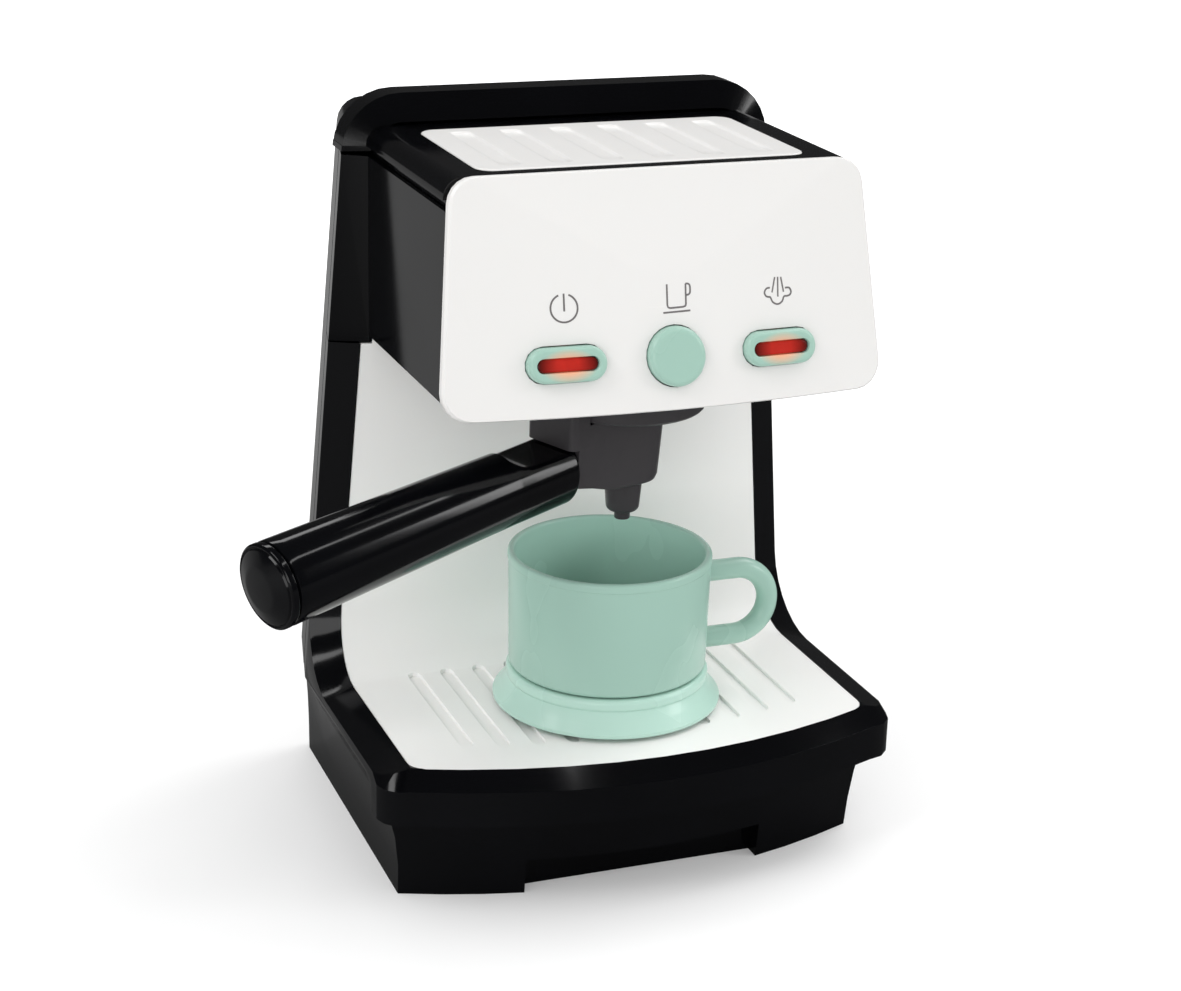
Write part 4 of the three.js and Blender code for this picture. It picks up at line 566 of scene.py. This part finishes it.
def screw_tree():
    tree = bpy.data.node_groups.new("Screws", "GeometryNodeTree")
    face = tree.interface
    face.new_socket("Places", in_out="INPUT", socket_type="NodeSocketGeometry")
    for name in ("Head radius", "Head height", "Recess width", "Recess length", "Recess depth",
                 "Shank radius", "Shank length"):
        face.new_socket(name, in_out="INPUT", socket_type="NodeSocketFloat")
    face.new_socket("Finish", in_out="INPUT", socket_type="NodeSocketMaterial")
    face.new_socket("Screws", in_out="OUTPUT", socket_type="NodeSocketGeometry")
    given = tree.nodes.new("NodeGroupInput").outputs

    def cone(vertices, low, high, depth):
        node = tree.nodes.new("GeometryNodeMeshCone")
        node.inputs["Vertices"].default_value = vertices
        link_nodes(tree, (low, node.inputs["Radius Bottom"]), (high, node.inputs["Radius Top"]),
            (depth, node.inputs["Depth"]))
        return node.outputs["Mesh"]

    def lifted(shape, height):
        node = tree.nodes.new("GeometryNodeTransform")
        up = tree.nodes.new("ShaderNodeCombineXYZ")
        link_nodes(tree, (height, up.inputs["Z"]), (shape, node.inputs["Geometry"]),
            (up.outputs["Vector"], node.inputs["Translation"]))
        return node.outputs["Geometry"]

    def bar(across, along):
        size = tree.nodes.new("ShaderNodeCombineXYZ")
        cube = tree.nodes.new("GeometryNodeMeshCube")
        tall = calculation(tree, "MULTIPLY", given["Recess depth"], 2)
        link_nodes(tree, (across, size.inputs["X"]), (along, size.inputs["Y"]),
            (tall, size.inputs["Z"]), (size.outputs["Vector"], cube.inputs["Size"]))
        return lifted(cube.outputs["Mesh"], given["Head height"])

    rim = cone(24, given["Head radius"], given["Head radius"],
        calculation(tree, "MULTIPLY", given["Head height"], 0.4))
    dome = lifted(cone(24, given["Head radius"],
        calculation(tree, "MULTIPLY", given["Head radius"], 0.62),
        calculation(tree, "MULTIPLY", given["Head height"], 0.6)),
        calculation(tree, "MULTIPLY", given["Head height"], 0.4))
    shank = lifted(cone(12, calculation(tree, "MULTIPLY", given["Shank radius"], 0.8),
        given["Shank radius"], given["Shank length"]),
        calculation(tree, "MULTIPLY", given["Shank length"], -1))
    cut = tree.nodes.new("GeometryNodeMeshBoolean")
    cut.operation = "DIFFERENCE"
    link_nodes(tree, (dome, cut.inputs["Mesh 1"]),
        (bar(given["Recess width"], given["Recess length"]), cut.inputs["Mesh 2"]),
        (bar(given["Recess length"], given["Recess width"]), cut.inputs["Mesh 2"]))
    whole = tree.nodes.new("GeometryNodeJoinGeometry")
    for shape in (rim, cut.outputs["Mesh"], shank):
        tree.links.new(shape, whole.inputs["Geometry"])
    facing = tree.nodes.new("GeometryNodeInputNamedAttribute")
    facing.data_type = "FLOAT_VECTOR"
    facing.inputs["Name"].default_value = "facing"
    align = tree.nodes.new("FunctionNodeAlignRotationToVector")
    align.axis = "Z"
    to_points = tree.nodes.new("GeometryNodeMeshToPoints")
    copies = tree.nodes.new("GeometryNodeInstanceOnPoints")
    realize = tree.nodes.new("GeometryNodeRealizeInstances")
    finish = tree.nodes.new("GeometryNodeSetMaterial")
    result = tree.nodes.new("NodeGroupOutput").inputs
    link_nodes(tree,
        (given["Places"], to_points.inputs["Mesh"]),
        (to_points.outputs["Points"], copies.inputs["Points"]),
        (whole.outputs["Geometry"], copies.inputs["Instance"]),
        (facing.outputs["Attribute"], align.inputs["Vector"]),
        (align.outputs["Rotation"], copies.inputs["Rotation"]),
        (copies.outputs["Instances"], realize.inputs["Geometry"]),
        (realize.outputs["Geometry"], finish.inputs["Geometry"]),
        (given["Finish"], finish.inputs["Material"]),
        (finish.outputs["Geometry"], result["Screws"]),
    )
    return tree


screws = screw_tree()


def screw_set(name, members, facing):
    """Screws in place of CAD nodes, whose heads face one way."""
    head_height = 1.4
    axis = max(range(3), key=lambda i: abs(facing[i]))
    places = []
    for node in members:
        low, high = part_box(node)
        middle = (low + high) / 2
        outer = high if facing[axis] > 0 else low
        middle[axis] = outer[axis] - facing[axis] * head_height * MM
        places.append(middle)
        length = (high - low)[axis] / MM - head_height
    mesh = bpy.data.meshes.new(name)
    mesh.from_pydata(places, [], [])
    attribute = mesh.attributes.new("facing", "FLOAT_VECTOR", "POINT")
    for i in range(len(places)):
        attribute.data[i].vector = facing
    piece = add_object(name, mesh)
    use_tree(piece, screws, head_radius=2.9 * MM, head_height=head_height * MM,
        recess_width=0.75 * MM, recess_length=3.1 * MM, recess_depth=0.75 * MM,
        shank_radius=1.4 * MM, shank_length=length * MM, finish=zinc)
    settle(piece)
    smooth(piece.data, 25)
    fit_out(piece, nodes[members[0]]["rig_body"], "screw_steel", zinc, *members)


screw_set("underside_screws", [f"bottom_screw_{i}" for i in range(1, 7)] + ["battery_door_screw"],
    (0, 0, -1))
screw_set("back_screws", [f"rear_screw_{i}" for i in range(1, 5)], (0, 1, 0))


# The case and the head, each moulding with the width of its rounded edges

for node, width in (("lower_frame", 1.2), ("rear_casing", 0.7), ("head_housing", 0.6),
                    ("top_cover", 2), ("bottom_cover", 0.5), ("battery_door", 0.6)):
    rounded_copy(node, width, "black_plastic", black_gloss)
rounded_copy("tray_panel", 0.45, "white_plastic", white_finishes["tray_panel"])
rounded_copy("fascia", 1.3, "white_plastic", white_finishes["fascia"], angle=38)
rounded_copy("group_collar", 0.3, "grey_plastic", grey_satin)
rounded_copy("filter_holder", 0.45, "grey_plastic", grey_satin)


# The white panel on top: a grid whose rows are trimmed to its outline, sunk softly at six pads

PAD_PITCH, PAD_HALF, PAD_MARGIN, PAD_DEPTH, PAD_CORNER, PAD_WALL = 17.7, 4.2, 6, 0.7, 2.8, 1.5
PANEL_CORNER, PANEL_EDGE = 6, 0.8


def inside_by(x, y, half, reach, corner):
    """How far a place lies inside a rectangle with round corners."""
    across, along = abs(x) - half + corner, abs(y) - reach + corner
    outside = math.hypot(max(across, 0), max(along, 0))
    return corner - outside - min(max(across, along), 0)


def eased(share):
    """A share from nothing to one that starts and ends gently."""
    share = min(max(share, 0), 1)
    return share * share * (3 - 2 * share)


def panel_lines(stops, span, coarse=4):
    """Places along an axis, close together in each pad's wall and at the panel's own edges."""
    found = {-span, span}
    for start, end in stops:
        found |= {start + PAD_WALL * k / 8 for k in range(9)}
        found |= {end - PAD_WALL * k / 8 for k in range(9)}
        found |= {start + (end - start) * k / coarse for k in range(1, coarse)}
        found |= {start - PAD_WALL, end + PAD_WALL}
    found |= {sign * (span - PANEL_EDGE * (1 - math.cos(math.pi / 2 * k / 4)))
        for k in range(5) for sign in (1, -1)}
    found |= {sign * (span - PANEL_CORNER * (1 - math.cos(math.pi / 2 * k / 8)))
        for k in range(9) for sign in (1, -1)}
    ordered = sorted(found)
    return [ordered[0]] + [b for a, b in zip(ordered, ordered[1:]) if b - a > 0.02]


def top_panel():
    low, high = (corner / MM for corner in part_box("top_grille"))
    half, reach = high.x, (high.y - low.y) / 2
    middle = (high.y + low.y) / 2
    pads = [(i - 2.5) * PAD_PITCH for i in range(6)]
    pad_reach = reach - PAD_MARGIN
    columns = panel_lines([(x - PAD_HALF, x + PAD_HALF) for x in pads], half)
    rows = panel_lines([(-pad_reach, pad_reach)], reach, coarse=6)
    points, faces = [], []
    for y in rows:
        drop = max(abs(y) - reach + PANEL_CORNER, 0)
        trim = PANEL_CORNER - math.sqrt(max(PANEL_CORNER ** 2 - drop ** 2, 0))
        for x in columns:
            x *= (half - trim) / half
            edge = min(inside_by(x, y, half, reach, PANEL_CORNER) / PANEL_EDGE, 1)
            z = high.z - PANEL_EDGE * (1 - math.sqrt(max(1 - (1 - edge) ** 2, 0)))
            for pad in pads:
                depth = inside_by(x - pad, y, PAD_HALF, pad_reach, PAD_CORNER)
                z -= PAD_DEPTH * eased(depth / PAD_WALL)
            points.append((x, middle + y, z))
    wide, deep = len(columns), len(rows)
    for j in range(deep - 1):
        faces += [(j * wide + i, j * wide + i + 1, (j + 1) * wide + i + 1, (j + 1) * wide + i)
            for i in range(wide - 1)]
    rim = [*range(wide), *range(2 * wide - 1, deep * wide, wide),
        *range(deep * wide - 2, (deep - 1) * wide - 1, -1),
        *range((deep - 2) * wide, 0, -wide)]
    start = len(points)
    points += [(points[i][0], points[i][1], low.z) for i in rim]
    count = len(rim)
    faces += [(rim[i], start + i, start + (i + 1) % count, rim[(i + 1) % count])
        for i in range(count)]
    faces.append(tuple(range(start, start + count)))
    mesh = mesh_from("top_panel", points, faces)
    smooth(mesh, 50)
    fit_out(add_object("top_panel", mesh), nodes["top_grille"]["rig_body"], "white_plastic",
        white_finishes["top_grille"], "top_grille")


top_panel()


# Buttons: a stadium that rounds over to a shallow dome, with a well for its window

def face_depth(across, up):
    """Depth of the bowed face at a place across it and up it."""
    share = up / FASCIA_HEIGHT
    half = FASCIA_HALF[0] + (FASCIA_HALF[1] - FASCIA_HALF[0]) * share
    bulge = FASCIA_BULGE[0] + (FASCIA_BULGE[1] - FASCIA_BULGE[0]) * share
    return -FASCIA_THICKNESS - bulge * max(1 - (across / half) ** 2, 0)


def slot_ring(length, width, across, raised=None, depth=0):
    """An oval about a button's middle, raised from the bowed face or in the plane at a depth."""
    steps = 20
    reach = (length - width) / 2
    points = []
    for side in (1, -1):
        for k in range(steps + 1):
            angle = math.pi * (k / steps - 0.5)
            x = across + side * (reach + width / 2 * math.cos(angle))
            up = BUTTON_UP + side * width / 2 * math.sin(angle)
            points.append((x, depth if raised is None else face_depth(x, up) - raised, up))
    return points


CAP_BACK, CAP_FLANGE, FLANGE_WIDTH = 1.9, 0.3, 2
WELL_LENGTH, WELL_WIDTH = 20.4, 4.7
LENS_LENGTH, LENS_WIDTH, LENS_SINK = 19.6, 3.9, 1.1


def button_piece(name, across, length, width, edge, window):
    """A button with a rounded edge, and with a well through it if it has a window."""
    rings = [slot_ring(length + FLANGE_WIDTH, width + FLANGE_WIDTH, across, depth=CAP_BACK),
        slot_ring(length + FLANGE_WIDTH, width + FLANGE_WIDTH, across, depth=CAP_FLANGE),
        slot_ring(length, width, across, depth=CAP_FLANGE)]
    for k in range(11):
        angle = math.pi / 2 * k / 10
        inset = edge * (1 - math.cos(angle))
        rise = BUTTON_RISE - edge * (1 - math.sin(angle))
        rings.append(slot_ring(length - 2 * inset, width - 2 * inset, across, rise))
    if window:
        rings += [slot_ring(WELL_LENGTH + wider, WELL_WIDTH + wider, across, BUTTON_RISE - sunk)
            for wider, sunk in ((0.8, 0), (0.3, 0.12), (0, 0.45))]
        rings.append(slot_ring(WELL_LENGTH, WELL_WIDTH, across, depth=CAP_BACK))
        mesh = rings_mesh(name, rings + rings[:1], leaning, closed=False)
    else:
        for share in (0.75, 0.5, 0.25, 0.05):
            rings.append(slot_ring(length * share, width * share, across, BUTTON_RISE))
        mesh = rings_mesh(name, rings, leaning)
    piece = add_object(name, mesh)
    smooth(mesh, 40)
    return piece


for side, across in (("left", -BUTTON_ACROSS), ("right", BUTTON_ACROSS)):
    fit_out(button_piece("cap_" + side, across, 25.8, 11.3, 1.4, True), "button_" + side,
        "mint_plastic", cap_finishes[side], "button_" + side)
    lens_edge = BUTTON_RISE - LENS_SINK
    rings = [slot_ring(LENS_LENGTH, LENS_WIDTH, across, depth=CAP_BACK),
        slot_ring(LENS_LENGTH, LENS_WIDTH, across, lens_edge)]
    for share, rise in ((0.9, 0.12), (0.6, 0.2), (0.3, 0.23)):
        rings.append(slot_ring(LENS_LENGTH - LENS_WIDTH * (1 - share), LENS_WIDTH * share, across,
            lens_edge + rise))
    lens = add_object("lens_" + side, rings_mesh("lens_" + side, rings, leaning))
    smooth(lens.data, 50)
    fit_out(lens, "button_" + side, "red_window", window_finishes["window_" + side],
        "window_" + side)
fit_out(button_piece("cap_centre", 0, 19.4, 19.4, 1.9, False), "button_centre", "mint_plastic",
    mint_gloss, "button_centre")


# The handle: round, with a flat on the neck that ends in a crescent scoop

NECK_RADIUS, NECK_END, GRIP_START, GRIP_END = 12.4, 50, 56, 147.6
SCOOP_START, SCOOP_END = 47.5, 55.5


def handle_radius(distance):
    """Even along the neck, then growing a little towards the end."""
    if distance < NECK_END:
        return NECK_RADIUS
    share = min((distance - NECK_END) / (GRIP_START - NECK_END), 1)
    along = max((distance - GRIP_START) / (GRIP_END - GRIP_START), 0)
    return NECK_RADIUS * (1 - share) + (12.38 + 1.62 * along) * share


def handle_flat(distance):
    """Height of the neck's flat top above the handle's line."""
    share = min(max((distance - SCOOP_START) / (SCOOP_END - SCOOP_START), 0), 1)
    return 8.2 + 4.3 * (1 - math.sqrt(max(1 - share ** 2, 0)))


def handle_ring(distance, shrink=0.0, lean=0.0):
    """A ring across the handle, which may lean until it stands upright."""
    sides = 72
    radius = handle_radius(distance) - shrink
    top = handle_flat(distance) - shrink
    if distance > SCOOP_END:
        top = radius
    ring = []
    for k in range(sides):
        angle = math.tau * k / sides
        up = min(radius * math.sin(angle), top)
        ring.append((radius * math.cos(angle), lean * up * math.tan(GRIP_TILT) - distance, up))
    return ring


handle_start = 31.5 / math.cos(GRIP_TILT)
rings = [handle_ring(handle_start + d, shrink, 1) for d, shrink in
    ((0.02, 0.7), (0.1, 0.4), (0.3, 0.15), (0.7, 0))]
rings += [handle_ring(33 + k, lean=1 - k / 10) for k in range(11)]
rings += [handle_ring(44 + 0.5 * k) for k in range(26)]
rings += [handle_ring(60 + 6 * k) for k in range(15)]
rings += [handle_ring(146.4), handle_ring(147.2, 0.15), handle_ring(GRIP_END, 0.7)]
handle = add_object("grip", rings_mesh("grip", rings, along_grip))
smooth(handle.data, 38)
fit_out(handle, "filter_holder", "black_plastic", black_gloss, "handle")

turned_piece("grip_end", [
    (0, 147.9, 0), (13.3, 147.9, 0.3), (14, 148.4, 0.3), (14, 150.2, 0.5), (13.2, 150.9, 0.3),
    (12.7, 150.4, 0.15), (12.2, 151.1, 0.4), (7, 153.2, 6), (0, 153.8, 0),
], along_grip @ forward, "black_plastic", black_gloss, "filter_holder", "handle_cap", 72)

SEAT_GAP = 0.3
spout_top = COLLAR_BOTTOM - SEAT_GAP - HOLDER_DROP - SEAT_GAP
turned_piece("nozzle", [(radius, spout_top - down, rounding) for radius, down, rounding in (
    (0, 0, 0), (6.6, 0, 0.3), (5.6, 11.4, 2), (3.2, 11.4, 0.4), (2.75, 12, 0.2),
    (2.7, 14.4, 0.4), (1.2, 14.4, 0.1), (1.2, 9.4, 0), (0, 9.4, 0),
)], holding, "grey_plastic", grey_satin, "filter_holder", "spout", 72)


# The cup and its saucer

serving = Matrix.Translation(Vector((*CUP_CENTRE, 0)))
turned_piece("cup_bowl", [
    (0, CUP_BOTTOM + 1.4, 0), (26.4, CUP_BOTTOM + 1.4, 0.6), (27, CUP_BOTTOM, 0.4),
    (34.9, CUP_BOTTOM, 2.2), (35.5, CUP_TOP - 3.2, 0.3), (35.8, CUP_TOP - 2.9, 0.3),
    (35.8, CUP_TOP, 1.15), (33.35, CUP_TOP, 1.1), (32.5, CUP_BOTTOM + 3.8, 5),
    (0, CUP_BOTTOM + 3.8, 0),
], serving, "mint_plastic", mint_cup, "cup", "cup", 128)
turned_piece("saucer_dish", [
    (0, 65.3, 0), (30.6, 65.3, 0.3), (31.1, 66.2, 0.3), (35.8, 66.2, 1.7), (35.8, 62.9, 1),
    (35.25, 62.1, 0.25), (37.2, 59, 12), (40.3, 55.4, 0.45), (40.3, 54.1, 0.4), (38.9, 54.1, 0.3),
    (36.6, 58.2, 0.3), (36.6, SAUCER_BOTTOM, 0.35), (34.8, SAUCER_BOTTOM, 0.35), (33.4, 62, 1.5),
    (31, 63.4, 0.5), (0, 63.4, 0),
], serving, "mint_plastic", mint_saucer, "saucer", "saucer", 128)


# The cup's loop, which swells into a small fillet where it leaves the cup

LOOP_MIDDLE, LOOP_RADIUS, LOOP_REACH, LOOP_THICKNESS = 83.3, 12.7, 48.7, 3.8
LOOP_ENDS = [(33.4, 0.9), (35, 0.9), (35.3, 0.55), (35.8, 0.25), (36.6, 0.06), (37.6, 0),
    (41, 0), (45, 0)]


def loop_ring(x, angle, swell=0.0):
    """A ring about the loop's line, at a place along x and an angle round its bend."""
    sides = 32
    z = LOOP_MIDDLE + LOOP_RADIUS * math.sin(angle)
    ring = []
    for k in range(sides):
        turn = math.tau * k / sides
        out = (LOOP_THICKNESS + swell) * math.cos(turn)
        ring.append((x + out * math.cos(angle), (LOOP_THICKNESS + swell) * math.sin(turn),
            z + out * math.sin(angle)))
    return ring


loop_rings = [loop_ring(x, math.pi / 2, swell) for x, swell in LOOP_ENDS]
for k in range(41):
    angle = math.pi * (0.5 - k / 40)
    loop_rings.append(loop_ring(LOOP_REACH + LOOP_RADIUS * math.cos(angle), angle))
loop_rings += [loop_ring(x, -math.pi / 2, swell) for x, swell in reversed(LOOP_ENDS)]
ear = add_object("cup_ear", rings_mesh("cup_ear", loop_rings, serving))
smooth(ear.data, 40)
fit_out(ear, "cup", "mint_plastic", mint_gloss)


# Printed pictograms over the buttons, laid on the fascia's own face

face_tree = BVHTree.FromPolygons(
    [v.co.copy() for v in nodes["fascia"].data.vertices],
    [tuple(p.vertices) for p in nodes["fascia"].data.polygons],
)


def on_face(across, up, lift):
    """The point on the fascia's face at a place across it and up it, raised by a lift."""
    start = leaning @ Vector((across, -30, up))
    inward = (leaning.to_3x3() @ Vector((0, 1, 0))).normalized()
    hit = face_tree.ray_cast(start * MM, inward)[0]
    return hit / MM - inward * lift


def stroke(points, width):
    """A thin printed band along points, as rings of four corners."""
    rings = []
    for i, point in enumerate(points):
        before, after = points[max(i - 1, 0)], points[min(i + 1, len(points) - 1)]
        along = (Vector(after) - Vector(before)).normalized()
        side = Vector((-along.y, along.x)) * width / 2
        corners = []
        for sign, lift in ((1, -0.05), (1, 0.04), (-1, 0.04), (-1, -0.05)):
            spot = Vector(point) + side * sign
            corners.append(on_face(spot.x, spot.y, lift))
        rings.append(corners)
    return rings


def arc_points(centre, radius, start, end):
    """Points round an arc between two angles in degrees."""
    steps = 36
    angles = [math.radians(start + (end - start) * k / steps) for k in range(steps + 1)]
    return [(centre[0] + radius * math.cos(angle), centre[1] + radius * math.sin(angle))
        for angle in angles]


def line(first, second):
    """A straight line as points about 0.8 apart."""
    span = Vector(second) - Vector(first)
    count = max(1, round(span.length / 0.8))
    return [tuple(Vector(first) + span * k / count) for k in range(count)] + [second]


def curve(points, steps=6):
    """A smooth line through points."""
    spots = [Vector(p) for p in points]
    found = []
    for i in range(len(spots) - 1):
        a, b = spots[max(i - 1, 0)], spots[i]
        c, d = spots[i + 1], spots[min(i + 2, len(spots) - 1)]
        for k in range(steps):
            t = k / steps
            found.append(tuple(0.5 * (2 * b + (c - a) * t + (2 * a - 5 * b + 4 * c - d) * t ** 2
                + (3 * b - a - 3 * c + d) * t ** 3)))
    return found + [points[-1]]


INK = 0.58
pictograms = [
    stroke(arc_points((-36.4, 34.2), 4.45, 112, 428), INK),
    stroke(line((-36.4, 33.2), (-36.3, 38.8)), INK),
    stroke(line((-1.5, 39.5), (-1.7, 33.2))
        + curve([(-1.7, 32.9), (-1.5, 32.2), (-0.8, 31.9)], 4) + line((-0.5, 31.9), (3.6, 32))
        + curve([(3.9, 32.05), (4.5, 32.3), (4.75, 32.9)], 4) + line((4.75, 33.2), (5, 39.3)), INK),
    stroke(curve([(5, 39.3), (5.9, 39.2), (6.45, 38.5), (6.4, 36.5), (5.8, 35.8),
        (4.95, 35.7)]), INK),
    stroke(line((-3.3, 30.5), (6.1, 30.7)), INK),
    stroke(curve([(35.1, 35.9), (33.8, 35.7), (33, 34.5), (33.5, 33.3), (34.5, 32.95), (35.1, 32.8),
        (35.9, 31.2), (37.6, 30.4), (39.3, 31.1), (40.2, 32.7), (41.2, 32.8), (42.3, 33.1),
        (42.85, 34), (42.5, 35.1), (41.9, 35.5), (40.7, 35.5)]), INK),
    stroke(line((37.1, 39.2), (35.8, 34.3)), INK * 0.9),
    stroke(line((38.2, 39.2), (37.9, 32.8)), INK * 0.9),
    stroke(line((39.3, 39.1), (40.1, 34.2)), INK * 0.9),
]
points, faces = [], []
for rings in pictograms:
    start = len(points)
    points += [corner for ring in rings for corner in ring]
    for i in range(len(rings) - 1):
        for j in range(4):
            a, b = start + i * 4 + j, start + i * 4 + (j + 1) % 4
            faces.append((a, b, b + 4, a + 4))
    last = start + (len(rings) - 1) * 4
    faces += [(start, start + 1, start + 2, start + 3), (last, last + 1, last + 2, last + 3)]
signs = add_object("pictograms", mesh_from("pictograms", points, faces))
fit_out(signs, "case", "dark_plastic", printed_ink)


# Every CAD node gets a finish by its name, whether it still shows or not

finish_of_node = {"battery_leads": red_sheath, "speaker_leads": black_sheath,
    "circuit_board": board_lacquer, "speaker": dark_matte, "led_left": clear_lens,
    "led_right": clear_lens, "battery_1": cell_sleeve, "battery_2": cell_sleeve}
finish_of_start = {"board_screw": zinc, "collar_screw": zinc, "handle_screw": zinc,
    "contact_plate": contact_steel, "plunger": dark_matte, "switch": dark_matte}
for name, node in nodes.items():
    finish = finish_of_node.get(name, black_gloss)
    for start, other in finish_of_start.items():
        if name.startswith(start):
            finish = other
    for held in node.material_slots:
        held.material = finish


# Floor, light and camera

def seen_strength(tree, camera, glossy, otherwise):
    """A strength for camera and transmission rays, one for glossy rays and one for the rest."""
    rays = tree.nodes.new("ShaderNodeLightPath").outputs
    seen = calculation(tree, "MAXIMUM", rays["Is Camera Ray"], rays["Is Transmission Ray"])
    mirrored = calculation(tree, "MULTIPLY", rays["Is Glossy Ray"], glossy - otherwise)
    return calculation(tree, "MAXIMUM", calculation(tree, "MULTIPLY", seen, camera),
        calculation(tree, "ADD", mirrored, otherwise))


def floor_material():
    """Matte white that also glows for the camera, weakly near the object and fully far away.

    In a gloss the floor is much darker, and darkest in front and on the right.
    """
    material = bpy.data.materials.new("studio_floor")
    material.use_nodes = True
    tree = material.node_tree
    tree.nodes.clear()
    output = tree.nodes.new("ShaderNodeOutputMaterial")
    matte = tree.nodes.new("ShaderNodeBsdfDiffuse")
    glow = tree.nodes.new("ShaderNodeEmission")
    both = tree.nodes.new("ShaderNodeAddShader")
    place = tree.nodes.new("ShaderNodeTexCoord").outputs["Object"]
    glossy = tree.nodes.new("ShaderNodeLightPath").outputs["Is Glossy Ray"]
    back_left = vector_calculation(tree, "DOT_PRODUCT", place, (-0.8, 0.6, 0))
    mirrored = blend(tree, spread(tree, back_left, 0, 1, (-0.1, 0.35)),
        (0.06, 0.06, 0.06), (0.2, 0.2, 0.2))
    far = spread(tree, vector_calculation(tree, "LENGTH", place), 0.16, 0.6, (0.35, 1))
    glow.inputs["Color"].default_value = (1, 1, 1, 1)
    link_nodes(tree,
        (blend(tree, glossy, (0.8, 0.8, 0.8), mirrored), matte.inputs["Color"]),
        (calculation(tree, "MULTIPLY", seen_strength(tree, 1, 0.1, 0), far),
            glow.inputs["Strength"]),
        (matte.outputs[0], both.inputs[0]), (glow.outputs[0], both.inputs[1]),
        (both.outputs[0], output.inputs["Surface"]))
    return material


floor_mesh = bpy.data.meshes.new("floor")
floor_mesh.from_pydata([(-12, -12, 0), (12, -12, 0), (12, 12, 0), (-12, 12, 0)], [], [(0, 1, 2, 3)])
floor = add_object("floor", floor_mesh)
floor_mesh.materials.append(floor_material())

world = bpy.data.worlds.new("studio")
bpy.context.scene.world = world
world.use_nodes = True
tree = world.node_tree
tree.nodes.clear()
sky = tree.nodes.new("ShaderNodeBackground")
sky.inputs["Color"].default_value = (1, 1, 1, 1)
output = tree.nodes.new("ShaderNodeOutputWorld")
link_nodes(tree, (seen_strength(tree, 1, 0.045, 0.86), sky.inputs["Strength"]),
    (sky.outputs[0], output.inputs["Surface"]))


def softbox(name, place, size, power):
    """A soft rectangular lamp that faces the object's middle."""
    data = bpy.data.lights.new(name, "AREA")
    data.shape = "RECTANGLE"
    data.size, data.size_y = size
    data.energy = power
    lamp = bpy.data.objects.new(name, data)
    bpy.context.scene.collection.objects.link(lamp)
    lamp.location = place
    towards = Vector((0, -0.03, 0.12)) - Vector(place)
    lamp.rotation_euler = towards.to_track_quat("-Z", "Y").to_euler()


softbox("front_left_softbox", (-1.1, -1.4, 0.45), (0.9, 0.7), 4)
softbox("low_right_softbox", (1.45, -0.78, 0.8), (0.4, 0.6), 4.5)
softbox("high_right_softbox", (1.2, 0.3, 1.5), (1, 0.8), 9)
softbox("high_left_softbox", (-1.25, -0.3, 1.4), (0.8, 0.8), 8)
softbox("back_softbox", (0.2, 1.3, 1.3), (1.2, 0.3), 3)
softbox("top_strip_softbox", (0.45, -0.45, 1.4), (1, 0.1), 1.2)

lens = bpy.data.cameras.new("camera")
lens.lens = 75.35
lens.sensor_width = 36
lens.sensor_fit = "HORIZONTAL"
lens.clip_start = 0.01
camera = bpy.data.objects.new("camera", lens)
bpy.context.scene.collection.objects.link(camera)
camera.matrix_world = Matrix.Translation(Vector((-0.302492, -0.780208, 0.412974))) @ Matrix((
    (0.933978, 0.095674, -0.344283),
    (-0.356377, 0.319704, -0.877943),
    (0.026073, 0.942675, 0.332693),
)).to_4x4()
bpy.context.scene.camera = camera
bpy.context.scene.view_settings.view_transform = "Standard"
